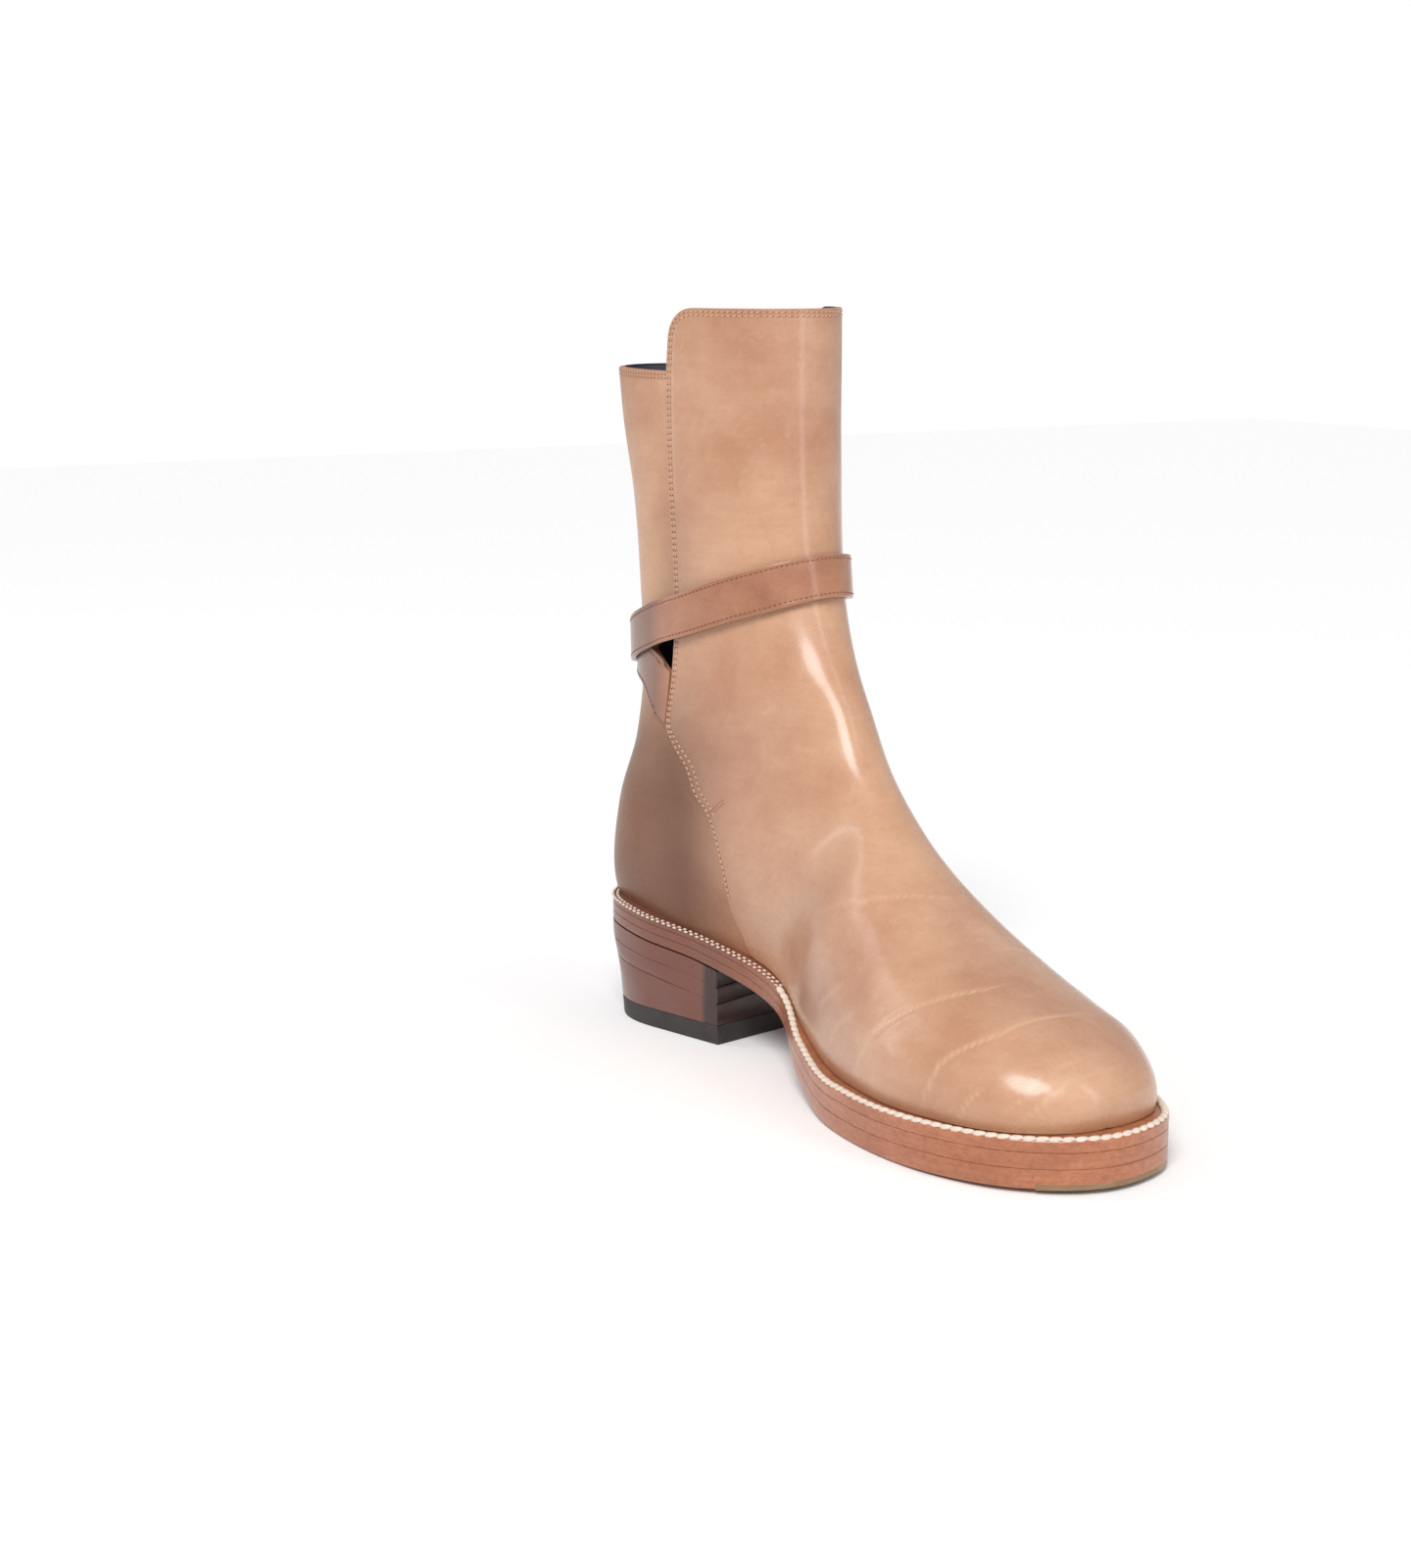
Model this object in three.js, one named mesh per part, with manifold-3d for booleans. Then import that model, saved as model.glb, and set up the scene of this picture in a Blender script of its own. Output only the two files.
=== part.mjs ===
// Jodhpur boot, left foot: welted leather sole, stacked heel, hollow upper of two panels
// and two ankle straps that cross behind the ankle and meet in a buckle on the outer side.
// Millimetres. +X to the toe, +Y to the outer (lateral) side, +Z up, floor at Z = 0.
import * as THREE from 'three';
import { mergeVertices } from 'three/addons/utils/BufferGeometryUtils.js';
import Module from 'manifold-3d';

const wasm = await Module();
wasm.setup();

// Driving dimensions
const soleLength = 300;          // back of the welt to the toe
const ballWidth = 100;           // sole across the ball
const heelSeatWidth = 70;        // sole across the heel
const waistWidth = 58;           // sole across the arch
const heelHeight = 39.9;         // floor to the outsole at the back of the heel
const toeSpring = 2;             // outsole above the floor at the toe
const ballRestBack = 191;        // flat stretch under the ball, from the back of the welt
const ballRestFront = 223;
const outsoleThickness = 7;      // at the toe
const midsoleThickness = 5.6;
const weltThickness = 4.2;
const waistThinning = 0.6;       // share of those thicknesses at heel and waist
const weltWidth = 6.8;           // welt that shows beyond the upper at the toe
const layerGap = 0.3;            // clearance between pieces that meet
const insoleRise = 1.2;          // insole above the welt

const heelTurn = THREE.MathUtils.degToRad(12.5);  // heel's own axis against the toe line
const heelCentreX = 41;          // turning point of the heel, from the back of the welt
const heelBaseWidth = 60;
const heelBaseBack = 34.6;       // turning point to the back of the top lift
const heelSeatBack = 39.5;       // the same under the outsole
const heelBreast = 36.5;         // turning point to the breast
const heelRoundness = 2.3;
const topLiftThickness = 7.6;
const heelLiftThickness = 6.6;
const heelLiftCount = 3;

const toePlateThickness = 2;
const toePlateDepth = 17;        // on the centre line
const toePlateArc = 70;          // radius of its rear edge

const bootHeight = 281;          // floor to the top of the front panel
const shaftDepth = 105;          // front to back of the shaft
const shaftWidth = 66;
const instepHeight = 122.3;      // floor to the ridge over the instep
const toeInset = 8.5;            // toe of the upper behind the toe of the sole
const toeTipHeight = 26.5;
const toeRoundness = 2.4;
const wall = 1.8;                // leather and lining
const lap = 1.1;                 // front panel over the back panel
const backCollarDrop = 23.5;     // back panel's top below the front panel's
const collarCorner = 15;         // rounding of the front panel's top corners
const sideBulge = 1.6;           // upper beyond its feather line
const waistTuck = 7.6;           // its inner side drawn in under the arch
const waistTuckHeight = 32;      // and how far up that fades
const stitchSlack = 0.45;        // clearance of the insole in the upper

const strapWidth = 16;
const strapThickness = 2;
const strapLift = 1;             // strap off the leather that it passes over
const buckleHeight = 21;
const buckleLength = 15;
const buckleBar = 1.8;           // thickness of its bars
const prongThickness = 1.4;
const buckleCorner = 3;
const buckleX = 50;              // from the back of the welt
const tipReach = 22;             // strap beyond the buckle's centre bar
const strapFrontHeight = 182.5;  // floor to the middle of the strap at the front of the ankle

// Sole outline, anticlockwise from the back. Shares of soleLength and of the named width.
const widths = { heel: heelSeatWidth, waist: waistWidth, ball: ballWidth };
const outlineRows = [
  { along: 0.000, across: -0.114, of: 'heel' },
  { along: 0.027, across: -0.351, of: 'heel' },
  { along: 0.067, across: -0.474, of: 'heel' },
  { along: 0.149, across: -0.496, of: 'heel' },
  { along: 0.254, across: -0.424, of: 'waist' },
  { along: 0.384, across: -0.286, of: 'waist' },
  { along: 0.509, across: -0.314, of: 'ball' },
  { along: 0.641, across: -0.442, of: 'ball' },
  { along: 0.754, across: -0.476, of: 'ball' },
  { along: 0.851, across: -0.443, of: 'ball' },
  { along: 0.934, across: -0.332, of: 'ball' },
  { along: 0.987, across: -0.146, of: 'ball' },
  { along: 0.998, across: 0.028, of: 'ball' },
  { along: 0.966, across: 0.276, of: 'ball' },
  { along: 0.876, across: 0.437, of: 'ball' },
  { along: 0.771, across: 0.514, of: 'ball' },
  { along: 0.654, across: 0.521, of: 'ball' },
  { along: 0.537, across: 0.459, of: 'ball' },
  { along: 0.401, across: 0.698, of: 'waist' },
  { along: 0.244, across: 0.604, of: 'heel' },
  { along: 0.101, across: 0.489, of: 'heel' },
  { along: 0.031, across: 0.306, of: 'heel' },
  { along: 0.001, across: 0.114, of: 'heel' },
];

// Underside of the outsole: shares of heelHeight and of toeSpring, and how far the
// thickness has grown from its waist value to its toe value.
const sideRows = [
  { along: 0.000, heel: 1.000, spring: 0, full: 0.00 },
  { along: 0.137, heel: 0.907, spring: 0, full: 0.00 },
  { along: 0.237, heel: 0.790, spring: 0, full: 0.00 },
  { along: 0.337, heel: 0.608, spring: 0, full: 0.02 },
  { along: 0.437, heel: 0.360, spring: 0, full: 0.10 },
  { along: 0.537, heel: 0.134, spring: 0, full: 0.45 },
  { along: 0.595, heel: 0.034, spring: 0, full: 0.70 },
  { along: 0.637, heel: 0.000, spring: 0, full: 0.85 },
  { along: 0.743, heel: 0.000, spring: 0, full: 0.95 },
  { along: 0.853, heel: 0.000, spring: 0.45, full: 1.00 },
  { along: 1.010, heel: 0.000, spring: 1, full: 1.00 },
];

// The upper's sections fan round the instep. Each lies in a plane through a ridge point and a
// base point of the side view. Shaft rows give these as shares of shaftDepth and of the height
// from instep (ridge) or heel seat (base) to the top; foot rows as shares of soleLength and of
// instepHeight (ridge) or heelHeight (base). The skews are the centre line's places across.
// belly is where a section is widest from the base up, wide its share of shaftWidth, and
// lean what the inner side stands beyond the feather line besides sideBulge, swell what the outer
// side stands beyond it, in sideBulges.
const shaftRows = [
  { ridge: 1.012, ridgeUp: 1.120, base: -0.040, baseUp: 1.090, wide: 1.025, belly: 0.50, skewBase: -3 },
  { ridge: 1.014, ridgeUp: 0.892, base: 0.007, baseUp: 0.907, wide: 1.015, belly: 0.50, skewBase: -3 },
  { ridge: 1.015, ridgeUp: 0.751, base: 0.041, baseUp: 0.810, wide: 0.997, belly: 0.50, skewBase: -3 },
  { ridge: 1.023, ridgeUp: 0.609, base: 0.122, baseUp: 0.675, wide: 0.970, belly: 0.49, skewBase: -3 },
  { ridge: 1.041, ridgeUp: 0.467, base: 0.165, baseUp: 0.521, wide: 0.945, belly: 0.47, skewBase: -3 },
  { ridge: 1.076, ridgeUp: 0.360, base: 0.192, baseUp: 0.388, wide: 0.920, belly: 0.44, skewBase: -3.5 },
  { ridge: 1.145, ridgeUp: 0.253, base: 0.158, baseUp: 0.247, wide: 0.925, belly: 0.38, skewBase: -4.5 },
  { ridge: 1.222, ridgeUp: 0.167, base: 0.074, baseUp: 0.127, wide: 0.961, belly: 0.31, skewBase: -6 },
];
const footRows = [
  { ridge: 0.454, ridgeUp: 1.112, base: 0.006, baseUp: 1.140, belly: 0.27,
    skewTop: 3.5, skewBase: -7, lean: 0, swell: 0.5 },
  { ridge: 0.483, ridgeUp: 0.997, base: 0.102, baseUp: 0.441, belly: 0.28,
    skewTop: 3, skewBase: -2, lean: 1, swell: 0.5 },
  { ridge: 0.530, ridgeUp: 0.875, base: 0.303, baseUp: 0.201, belly: 0.30,
    skewTop: 2, skewBase: 7, lean: 4.5, swell: 0.5 },
  { ridge: 0.586, ridgeUp: 0.758, base: 0.453, baseUp: 0.050, belly: 0.34,
    skewTop: 0.5, skewBase: 8, lean: 3.5, swell: 0.5 },
  { ridge: 0.645, ridgeUp: 0.646, base: 0.570, baseUp: 0.000, belly: 0.36,
    skewTop: -1, skewBase: 3.5, lean: 1.2, swell: 0.5 },
  { ridge: 0.716, ridgeUp: 0.544, base: 0.670, baseUp: 0.000, belly: 0.40,
    skewTop: -2.5, skewBase: 1, lean: 0, swell: 0.5 },
  { ridge: 0.797, ridgeUp: 0.468, base: 0.770, baseUp: 0.025, belly: 0.42,
    skewTop: -3.5, skewBase: 0, lean: 0, swell: 1.25 },
  { ridge: 0.853, ridgeUp: 0.420, base: 0.843, baseUp: 0.075, belly: 0.45,
    skewTop: -4, skewBase: -2, lean: 0, swell: 2.9 },
];
const toeSlope = -0.30;          // fall of the ridge where the toe box starts

const mix = THREE.MathUtils.lerp;

// Smooth curve through rows of numbers, for the keys named; knots are the rows' own places.
function curveThrough(knots, rows, keys) {
  const slope = (i, key) => (rows[i + 1][key] - rows[i][key]) / (knots[i + 1] - knots[i]);
  const last = rows.length - 1;
  const tangent = (i, key) => {
    if (i === 0) return slope(0, key);
    if (i === last) return slope(last - 1, key);
    const before = knots[i] - knots[i - 1];
    const after = knots[i + 1] - knots[i];
    return (slope(i - 1, key) * after + slope(i, key) * before) / (before + after);
  };
  return (t) => {
    let i = 0;
    while (i < last - 1 && t > knots[i + 1]) i += 1;
    const span = knots[i + 1] - knots[i];
    const u = (t - knots[i]) / span;
    const out = {};
    for (const key of keys) {
      out[key] = (2 * u ** 3 - 3 * u ** 2 + 1) * rows[i][key]
        + (u ** 3 - 2 * u ** 2 + u) * span * tangent(i, key)
        + (3 * u ** 2 - 2 * u ** 3) * rows[i + 1][key]
        + (u ** 3 - u ** 2) * span * tangent(i + 1, key);
    }
    return out;
  };
}

// Sole outline as inner and outer edge over X
const outlineCurve = new THREE.CatmullRomCurve3(
  outlineRows.map((row) => new THREE.Vector3(row.along * soleLength, row.across * widths[row.of], 0)),
  true, 'centripetal');
const outlinePoints = outlineCurve.getPoints(outlineRows.length * 12).slice(0, -1);

// Closed outline moved inwards by a distance that may change along the sole
function insetOutline(insetAt) {
  const count = outlinePoints.length;
  return outlinePoints.map((point, i) => {
    const next = outlinePoints[(i + 1) % count];
    const before = outlinePoints[(i + count - 1) % count];
    const along = next.clone().sub(before).normalize();
    const inset = insetAt(point.x);
    return new THREE.Vector2(point.x - along.y * inset, point.y + along.x * inset);
  });
}

// Inner and outer Y of a closed outline at a given X
function edgesOf(points) {
  const ys = (x, wanted) => {
    let best = null;
    points.forEach((p, i) => {
      const q = points[(i + 1) % points.length];
      if ((p.x - x) * (q.x - x) > 0 || p.x === q.x) return;
      const y = mix(p.y, q.y, (x - p.x) / (q.x - p.x));
      if (best === null || (wanted < 0 ? y < best : y > best)) best = y;
    });
    return best;
  };
  const xs = points.map((p) => p.x);
  const [low, high] = [Math.min(...xs), Math.max(...xs)];
  const tipY = (x) => points.reduce((a, b) => (Math.abs(b.x - x) < Math.abs(a.x - x) ? b : a)).y;
  return { low, high, inner: (x) => ys(x, -1), outer: (x) => ys(x, 1), tipY };
}

const sideCurve = curveThrough(sideRows.map((row) => row.along), sideRows, ['heel', 'spring', 'full']);
function underside(x) {
  const row = sideCurve(x / soleLength);
  if (x >= ballRestBack && x <= ballRestFront) return 0;
  return Math.max(0, row.heel * heelHeight + row.spring * toeSpring);
}
const fullness = (x) => mix(waistThinning, 1, THREE.MathUtils.clamp(sideCurve(x / soleLength).full, 0, 1));
const midsoleFloor = (x) => underside(x) + outsoleThickness * fullness(x);
const weltFloor = (x) => midsoleFloor(x) + midsoleThickness * fullness(x);
const weltTop = (x) => weltFloor(x) + weltThickness * fullness(x);
const weltShow = (x) => weltWidth * mix(0.88, 1, THREE.MathUtils.clamp(x / soleLength, 0, 1))
  * (1 - 0.42 * Math.exp(-(((x / soleLength - 0.38) / 0.12) ** 2)));

// Solid from rings of equal count: sides between them, a flat cap at each end. Rings whose
// points fall together close to a point.
function loft(rings, closed = false) {
  const count = rings[0].length;
  const positions = rings.flat().flatMap((p) => [p.x, p.y, p.z]);
  const faces = [];
  for (let r = 0; r < rings.length - 1; r += 1) {
    for (let k = 0; k < count; k += 1) {
      const a = r * count + k;
      const b = r * count + ((k + 1) % count);
      faces.push([a, b, b + count], [a, b + count, a + count]);
    }
  }
  const lastStart = (rings.length - 1) * count;
  for (let k = 1; k < count - 1 && !closed; k += 1) {
    faces.push([0, k + 1, k], [lastStart, lastStart + k, lastStart + k + 1]);
  }
  return closedGeometry(positions, faces);
}

// Merges equal points, drops faces that closed up and turns the whole outwards
function closedGeometry(positions, faces) {
  const raw = new THREE.BufferGeometry();
  raw.setAttribute('position', new THREE.Float32BufferAttribute(positions, 3));
  raw.setIndex(faces.flat());
  const merged = mergeVertices(raw, 1e-4);
  const index = [];
  const old = merged.index.array;
  for (let i = 0; i < old.length; i += 3) {
    const [a, b, c] = [old[i], old[i + 1], old[i + 2]];
    if (a !== b && b !== c && a !== c) index.push(a, b, c);
  }
  const at = merged.attributes.position;
  let volume = 0;
  const [p, q, r] = [new THREE.Vector3(), new THREE.Vector3(), new THREE.Vector3()];
  for (let i = 0; i < index.length; i += 3) {
    p.fromBufferAttribute(at, index[i]);
    q.fromBufferAttribute(at, index[i + 1]);
    r.fromBufferAttribute(at, index[i + 2]);
    volume += p.dot(q.cross(r));
  }
  if (volume < 0) index.reverse();
  merged.setIndex(index);
  return merged;
}

function toSolid(geometry) {
  const bare = geometry.clone();
  bare.deleteAttribute('normal');
  bare.deleteAttribute('uv');
  const merged = mergeVertices(bare, 1e-4);
  return new wasm.Manifold(new wasm.Mesh({
    numProp: 3,
    vertProperties: new Float32Array(merged.attributes.position.array),
    triVerts: new Uint32Array(merged.index.array),
  }));
}

function toGeometry(solid) {
  const mesh = solid.getMesh();
  const geometry = new THREE.BufferGeometry();
  geometry.setAttribute('position', new THREE.BufferAttribute(mesh.vertProperties, 3));
  geometry.setIndex(new THREE.BufferAttribute(mesh.triVerts, 1));
  return geometry;
}

// Side-view outline carried across the boot, from one Y to another
function sidePrism(points, fromY, toY) {
  const outline = THREE.ShapeUtils.isClockWise(points) ? [...points].reverse() : points;
  const ring = (y) => outline.map((p) => new THREE.Vector3(p.x, y, p.y));
  const shape = THREE.ShapeUtils.triangulateShape(outline, []);
  const count = outline.length;
  const positions = [...ring(fromY), ...ring(toY)].flatMap((p) => [p.x, p.y, p.z]);
  const faces = [];
  for (let k = 0; k < count; k += 1) {
    const next = (k + 1) % count;
    faces.push([k, next, next + count], [k, next + count, k + count]);
  }
  for (const [a, b, c] of shape) faces.push([a, c, b], [a + count, b + count, c + count]);
  return toSolid(closedGeometry(positions, faces));
}

// Places along the sole: close together at its round ends, with the flat rest's ends among them
function stationsBetween(low, high, count = 30) {
  const places = [];
  for (let i = 0; i <= count; i += 1) {
    places.push(mix(low, high, (1 - Math.cos((Math.PI * i) / count)) / 2));
  }
  const snapTo = (value) => {
    const near = places.reduce((a, b) => (Math.abs(b - value) < Math.abs(a - value) ? b : a));
    places[places.indexOf(near)] = value;
  };
  snapTo(ballRestBack);
  snapTo(ballRestFront);
  return places;
}

// One layer of the sole between two heights, inset from the outline
function soleLayer(insetAt, floorAt, topAt) {
  const edges = edgesOf(insetOutline(insetAt));
  const places = stationsBetween(edges.low + 0.01, edges.high - 0.01);
  const rings = places.map((x, i) => {
    const end = i === 0 || i === places.length - 1;
    const inner = end ? edges.tipY(x) : edges.inner(x);
    const outer = end ? inner : edges.outer(x);
    return [
      new THREE.Vector3(x, inner, floorAt(x)), new THREE.Vector3(x, outer, floorAt(x)),
      new THREE.Vector3(x, outer, topAt(x)), new THREE.Vector3(x, inner, topAt(x)),
    ];
  });
  return toSolid(loft(rings));
}

// Heel section at a height: round behind, straight at the breast, turned with the heel
function heelSection(share, z) {
  const half = mix(heelBaseWidth, heelSeatWidth, share) / 2;
  const back = mix(heelBaseBack, heelSeatBack, share);
  const points = [];
  const add = (x, y) => points.push(new THREE.Vector3(
    heelCentreX + x * Math.cos(heelTurn) - y * Math.sin(heelTurn),
    x * Math.sin(heelTurn) + y * Math.cos(heelTurn), z));
  add(heelBreast, -half);
  const steps = 18;
  for (let i = 0; i <= steps; i += 1) {
    const angle = mix(-Math.PI / 2, Math.PI / 2, i / steps);
    const round = (v) => Math.sign(v) * Math.abs(v) ** (2 / heelRoundness);
    add(-back * round(Math.cos(angle)), half * round(Math.sin(angle)));
  }
  add(heelBreast, half);
  return points;
}

const heelForm = toSolid(loft([heelSection(0, 0), heelSection(1, heelHeight), heelSection(1, heelHeight + 6)]));
const outsoleInset = (x) => mix(1.6, 0.2, THREE.MathUtils.smoothstep(x, 0.2 * soleLength, 0.5 * soleLength));
const heelBlock = heelForm.intersect(soleLayer(outsoleInset, () => -1, () => heelHeight + 10));

// Slice of the heel between two curves of the side view
function heelSlice(floorAt, topAt) {
  const outline = [];
  const places = Array.from({ length: 13 }, (_, i) => mix(-6, heelCentreX + heelBreast + 12, i / 12));
  for (const x of places) outline.push(new THREE.Vector2(x, floorAt(x)));
  for (const x of [...places].reverse()) outline.push(new THREE.Vector2(x, topAt(x)));
  return heelBlock.intersect(sidePrism(outline, -ballWidth, ballWidth));
}

const topLift = heelSlice(() => -1, () => topLiftThickness);
const heelLifts = Array.from({ length: heelLiftCount }, (_, i) => {
  const topAt = (x) => underside(Math.max(x, 0)) - layerGap - i * heelLiftThickness;
  const lowest = i === heelLiftCount - 1;
  const floorAt = lowest
    ? () => topLiftThickness + layerGap
    : (x) => topAt(x) - heelLiftThickness + layerGap;
  return heelSlice(floorAt, topAt);
});

// Sole layers
// Region of the toe plate seen from above, in front of an arc, grown by a clearance
function toePlatePrism(grow, low, high) {
  const toe = 0.998 * soleLength;
  const outline = [];
  for (let i = 0; i <= 14; i += 1) {
    const angle = mix(-0.75, 0.75, i / 14);
    outline.push(new THREE.Vector2(
      toe - toePlateDepth + toePlateArc * (1 - Math.cos(angle)) - grow, toePlateArc * Math.sin(angle)));
  }
  outline.push(new THREE.Vector2(toe + 20, outline.at(-1).y), new THREE.Vector2(toe + 20, outline[0].y));
  const geometry = new THREE.ExtrudeGeometry(
    new THREE.Shape(outline), { depth: high - low, bevelEnabled: false });
  geometry.translate(0, 0, low);
  return toSolid(geometry);
}

const outsoleWhole = soleLayer(outsoleInset, underside, (x) => midsoleFloor(x) - layerGap);
const plateCut = soleLayer(
  outsoleInset, (x) => underside(x) - 2, (x) => underside(x) + toePlateThickness + layerGap);
const plateBody = soleLayer(outsoleInset, underside, (x) => underside(x) + toePlateThickness);
const outsole = outsoleWhole.subtract(plateCut.intersect(toePlatePrism(layerGap, -5, 20)));
const toePlate = plateBody.intersect(toePlatePrism(0, -5, 20));
const midsole = soleLayer(outsoleInset, midsoleFloor, (x) => weltFloor(x) - layerGap);
const weltBand = (x) => weltShow(x) + lap + wall + 2.2;
const welt = soleLayer(() => 0, weltFloor, weltTop)
  .subtract(soleLayer(weltBand, (x) => weltFloor(x) - 3, (x) => weltTop(x) + 3));

// Upper: sections of the shaft and the foot in millimetres
const feather = edgesOf(insetOutline(weltShow));
function shaftSection(row) {
  const heelSeat = weltTop(0);
  return {
    ridgeX: row.ridge * shaftDepth, ridgeZ: mix(instepHeight, bootHeight, row.ridgeUp),
    baseX: row.base * shaftDepth, baseZ: mix(heelSeat, bootHeight, row.baseUp),
    skewTop: 4, skewBase: row.skewBase,
    inner: (row.wide * shaftWidth) / 2, outer: (row.wide * shaftWidth) / 2,
    belly: row.belly, upperPower: 2.1, lowerPower: 2.1,
  };
}
function footSection(row, i) {
  const ridgeX = row.ridge * soleLength;
  const baseX = row.base * soleLength;
  const acrossX = Math.max(mix(baseX, ridgeX, row.belly * 0.8), heelCentreX);
  const centre = mix(row.skewBase, row.skewTop, row.belly);
  return {
    ridgeX, ridgeZ: row.ridgeUp * instepHeight, baseX, baseZ: row.baseUp * heelHeight,
    skewTop: row.skewTop, skewBase: row.skewBase,
    inner: centre - feather.inner(acrossX) + sideBulge + row.lean,
    outer: feather.outer(acrossX) - centre + sideBulge * row.swell,
    belly: row.belly, upperPower: 2.1, lowerPower: i < 2 ? 2.3 : 2.5,
  };
}
const sections = [...shaftRows.map(shaftSection), ...footRows.map(footSection)];
const sectionKeys = Object.keys(sections[0]);
const sectionKnots = sections.reduce((knots, section, i) => {
  if (i === 0) return [0];
  const before = sections[i - 1];
  const ridge = Math.hypot(section.ridgeX - before.ridgeX, section.ridgeZ - before.ridgeZ);
  const base = Math.hypot(section.baseX - before.baseX, section.baseZ - before.baseZ);
  return [...knots, knots[i - 1] + ridge + 0.35 * base];
}, []);
const sectionAt = curveThrough(sectionKnots, sections, sectionKeys);
const lastKnot = sectionKnots[sectionKnots.length - 1];

// How far the inner side is drawn in under the arch
function tuckAt(x, z) {
  const share = x / soleLength - 0.33;
  const above = Math.max(z - weltTop(THREE.MathUtils.clamp(x, 0, soleLength)), 0);
  return waistTuck * Math.exp(-((share / (share < 0 ? 0.12 : 0.2)) ** 2) - (above / waistTuckHeight) ** 2);
}

// Point of a section at an angle: 90 degrees is the ridge, 180 the inner side, 270 the base
function sectionPoint(section, angle) {
  const c = Math.cos(angle);
  const s = Math.sin(angle);
  const power = 2 / (s >= 0 ? section.upperPower : section.lowerPower);
  const half = c >= 0 ? section.outer : section.inner;
  const reach = s >= 0 ? 1 - section.belly : section.belly;
  const rise = section.belly + reach * Math.sign(s) * Math.abs(s) ** power;
  const x = mix(section.baseX, section.ridgeX, rise);
  const z = mix(section.baseZ, section.ridgeZ, rise);
  const y = mix(section.skewBase, section.skewTop, rise) + half * Math.sign(c) * Math.abs(c) ** power;
  return new THREE.Vector3(x, y + tuckAt(x, z) * THREE.MathUtils.clamp(-2 * c, 0, 1), z);
}

// Rings of the whole form, with the toe box closed by a rounded dome
const ringSides = 32;
const toeTip = 0.998 * soleLength - toeInset;
function formRings() {
  const rings = [];
  const angles = Array.from({ length: ringSides }, (_, k) => (2 * Math.PI * k) / ringSides);
  for (let i = 0; i < sections.length - 1; i += 1) {
    for (const share of [0, 0.5]) {
      const section = sectionAt(mix(sectionKnots[i], sectionKnots[i + 1], share));
      rings.push(angles.map((angle) => sectionPoint(section, angle)));
    }
  }
  const last = sectionAt(lastKnot);
  const acrossX = mix(last.baseX, last.ridgeX, last.belly * 0.8);
  const domeSteps = 8;
  for (let k = 0; k <= domeSteps; k += 1) {
    const turn = (k / domeSteps) * (Math.PI / 2);
    const share = Math.sin(turn);
    const shrink = k === domeSteps ? 0 : Math.cos(turn) ** (2 / toeRoundness);
    const ridgeX = mix(last.ridgeX, toeTip, share);
    const acrossNow = mix(acrossX, feather.high - 0.02, share);
    const centre = mix(mix(last.skewBase, last.skewTop, last.belly), 1, share);
    const slopedZ = last.ridgeZ + toeSlope * (ridgeX - last.ridgeX);
    const section = {
      ...last,
      ridgeX, baseX: mix(last.baseX, toeTip, share),
      ridgeZ: mix(toeTipHeight, slopedZ, shrink), baseZ: mix(toeTipHeight, last.baseZ, shrink),
      skewTop: mix(last.skewTop, 1, share), skewBase: mix(last.skewBase, 1, share),
      inner: shrink === 0 ? 0 : centre - feather.inner(acrossNow) + sideBulge * shrink,
      outer: shrink === 0 ? 0 : feather.outer(acrossNow) - centre + sideBulge * footRows.at(-1).swell * shrink,
    };
    rings.push(angles.map((angle) => sectionPoint(section, angle)));
  }
  return rings;
}

// Rings moved along the surface's own normals
function offsetRings(rings, distance) {
  const lastRing = rings.length - 1;
  return rings.map((ring, r) => ring.map((point, k) => {
    const along = rings[Math.min(r + 1, lastRing)][k].clone().sub(rings[Math.max(r - 1, 0)][k]);
    const sidewise = ring[(k + 1) % ringSides].clone().sub(ring[(k + ringSides - 1) % ringSides]);
    const normal = sidewise.cross(along);
    if (r === lastRing || normal.length() < 1e-6) normal.set(1, 0, 0);
    return point.clone().addScaledVector(normal.normalize(), distance);
  }));
}
const baseRings = formRings();
const form = (distance) => toSolid(loft(offsetRings(baseRings, distance)));

const frontTop = bootHeight;
const backTop = frontTop - backCollarDrop;
const beyond = 60;

// Rear edge of the front panel in the side view, from the collar down to the welt:
// shares of bootHeight up, and of soleLength along
const panelEdgeRows = [
  { up: 0.900, along: 0.214 }, { up: 0.760, along: 0.212 }, { up: 0.694, along: 0.216 },
  { up: 0.628, along: 0.219 }, { up: 0.560, along: 0.219 }, { up: 0.507, along: 0.215 },
  { up: 0.437, along: 0.209 }, { up: 0.409, along: 0.228 }, { up: 0.389, along: 0.239 },
  { up: 0.346, along: 0.247 }, { up: 0.322, along: 0.268 }, { up: 0.291, along: 0.286 },
  { up: 0.248, along: 0.297 }, { up: 0.192, along: 0.297 }, { up: 0.154, along: 0.306 },
  { up: 0.100, along: 0.318 },
];
const panelX = (up) => {
  const i = panelEdgeRows.findIndex((row, k) => k < panelEdgeRows.length - 1 && up >= panelEdgeRows[k + 1].up);
  const [above, below] = [panelEdgeRows[i], panelEdgeRows[i + 1]];
  return mix(below.along, above.along, (up - below.up) / (above.up - below.up)) * soleLength;
};
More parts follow.
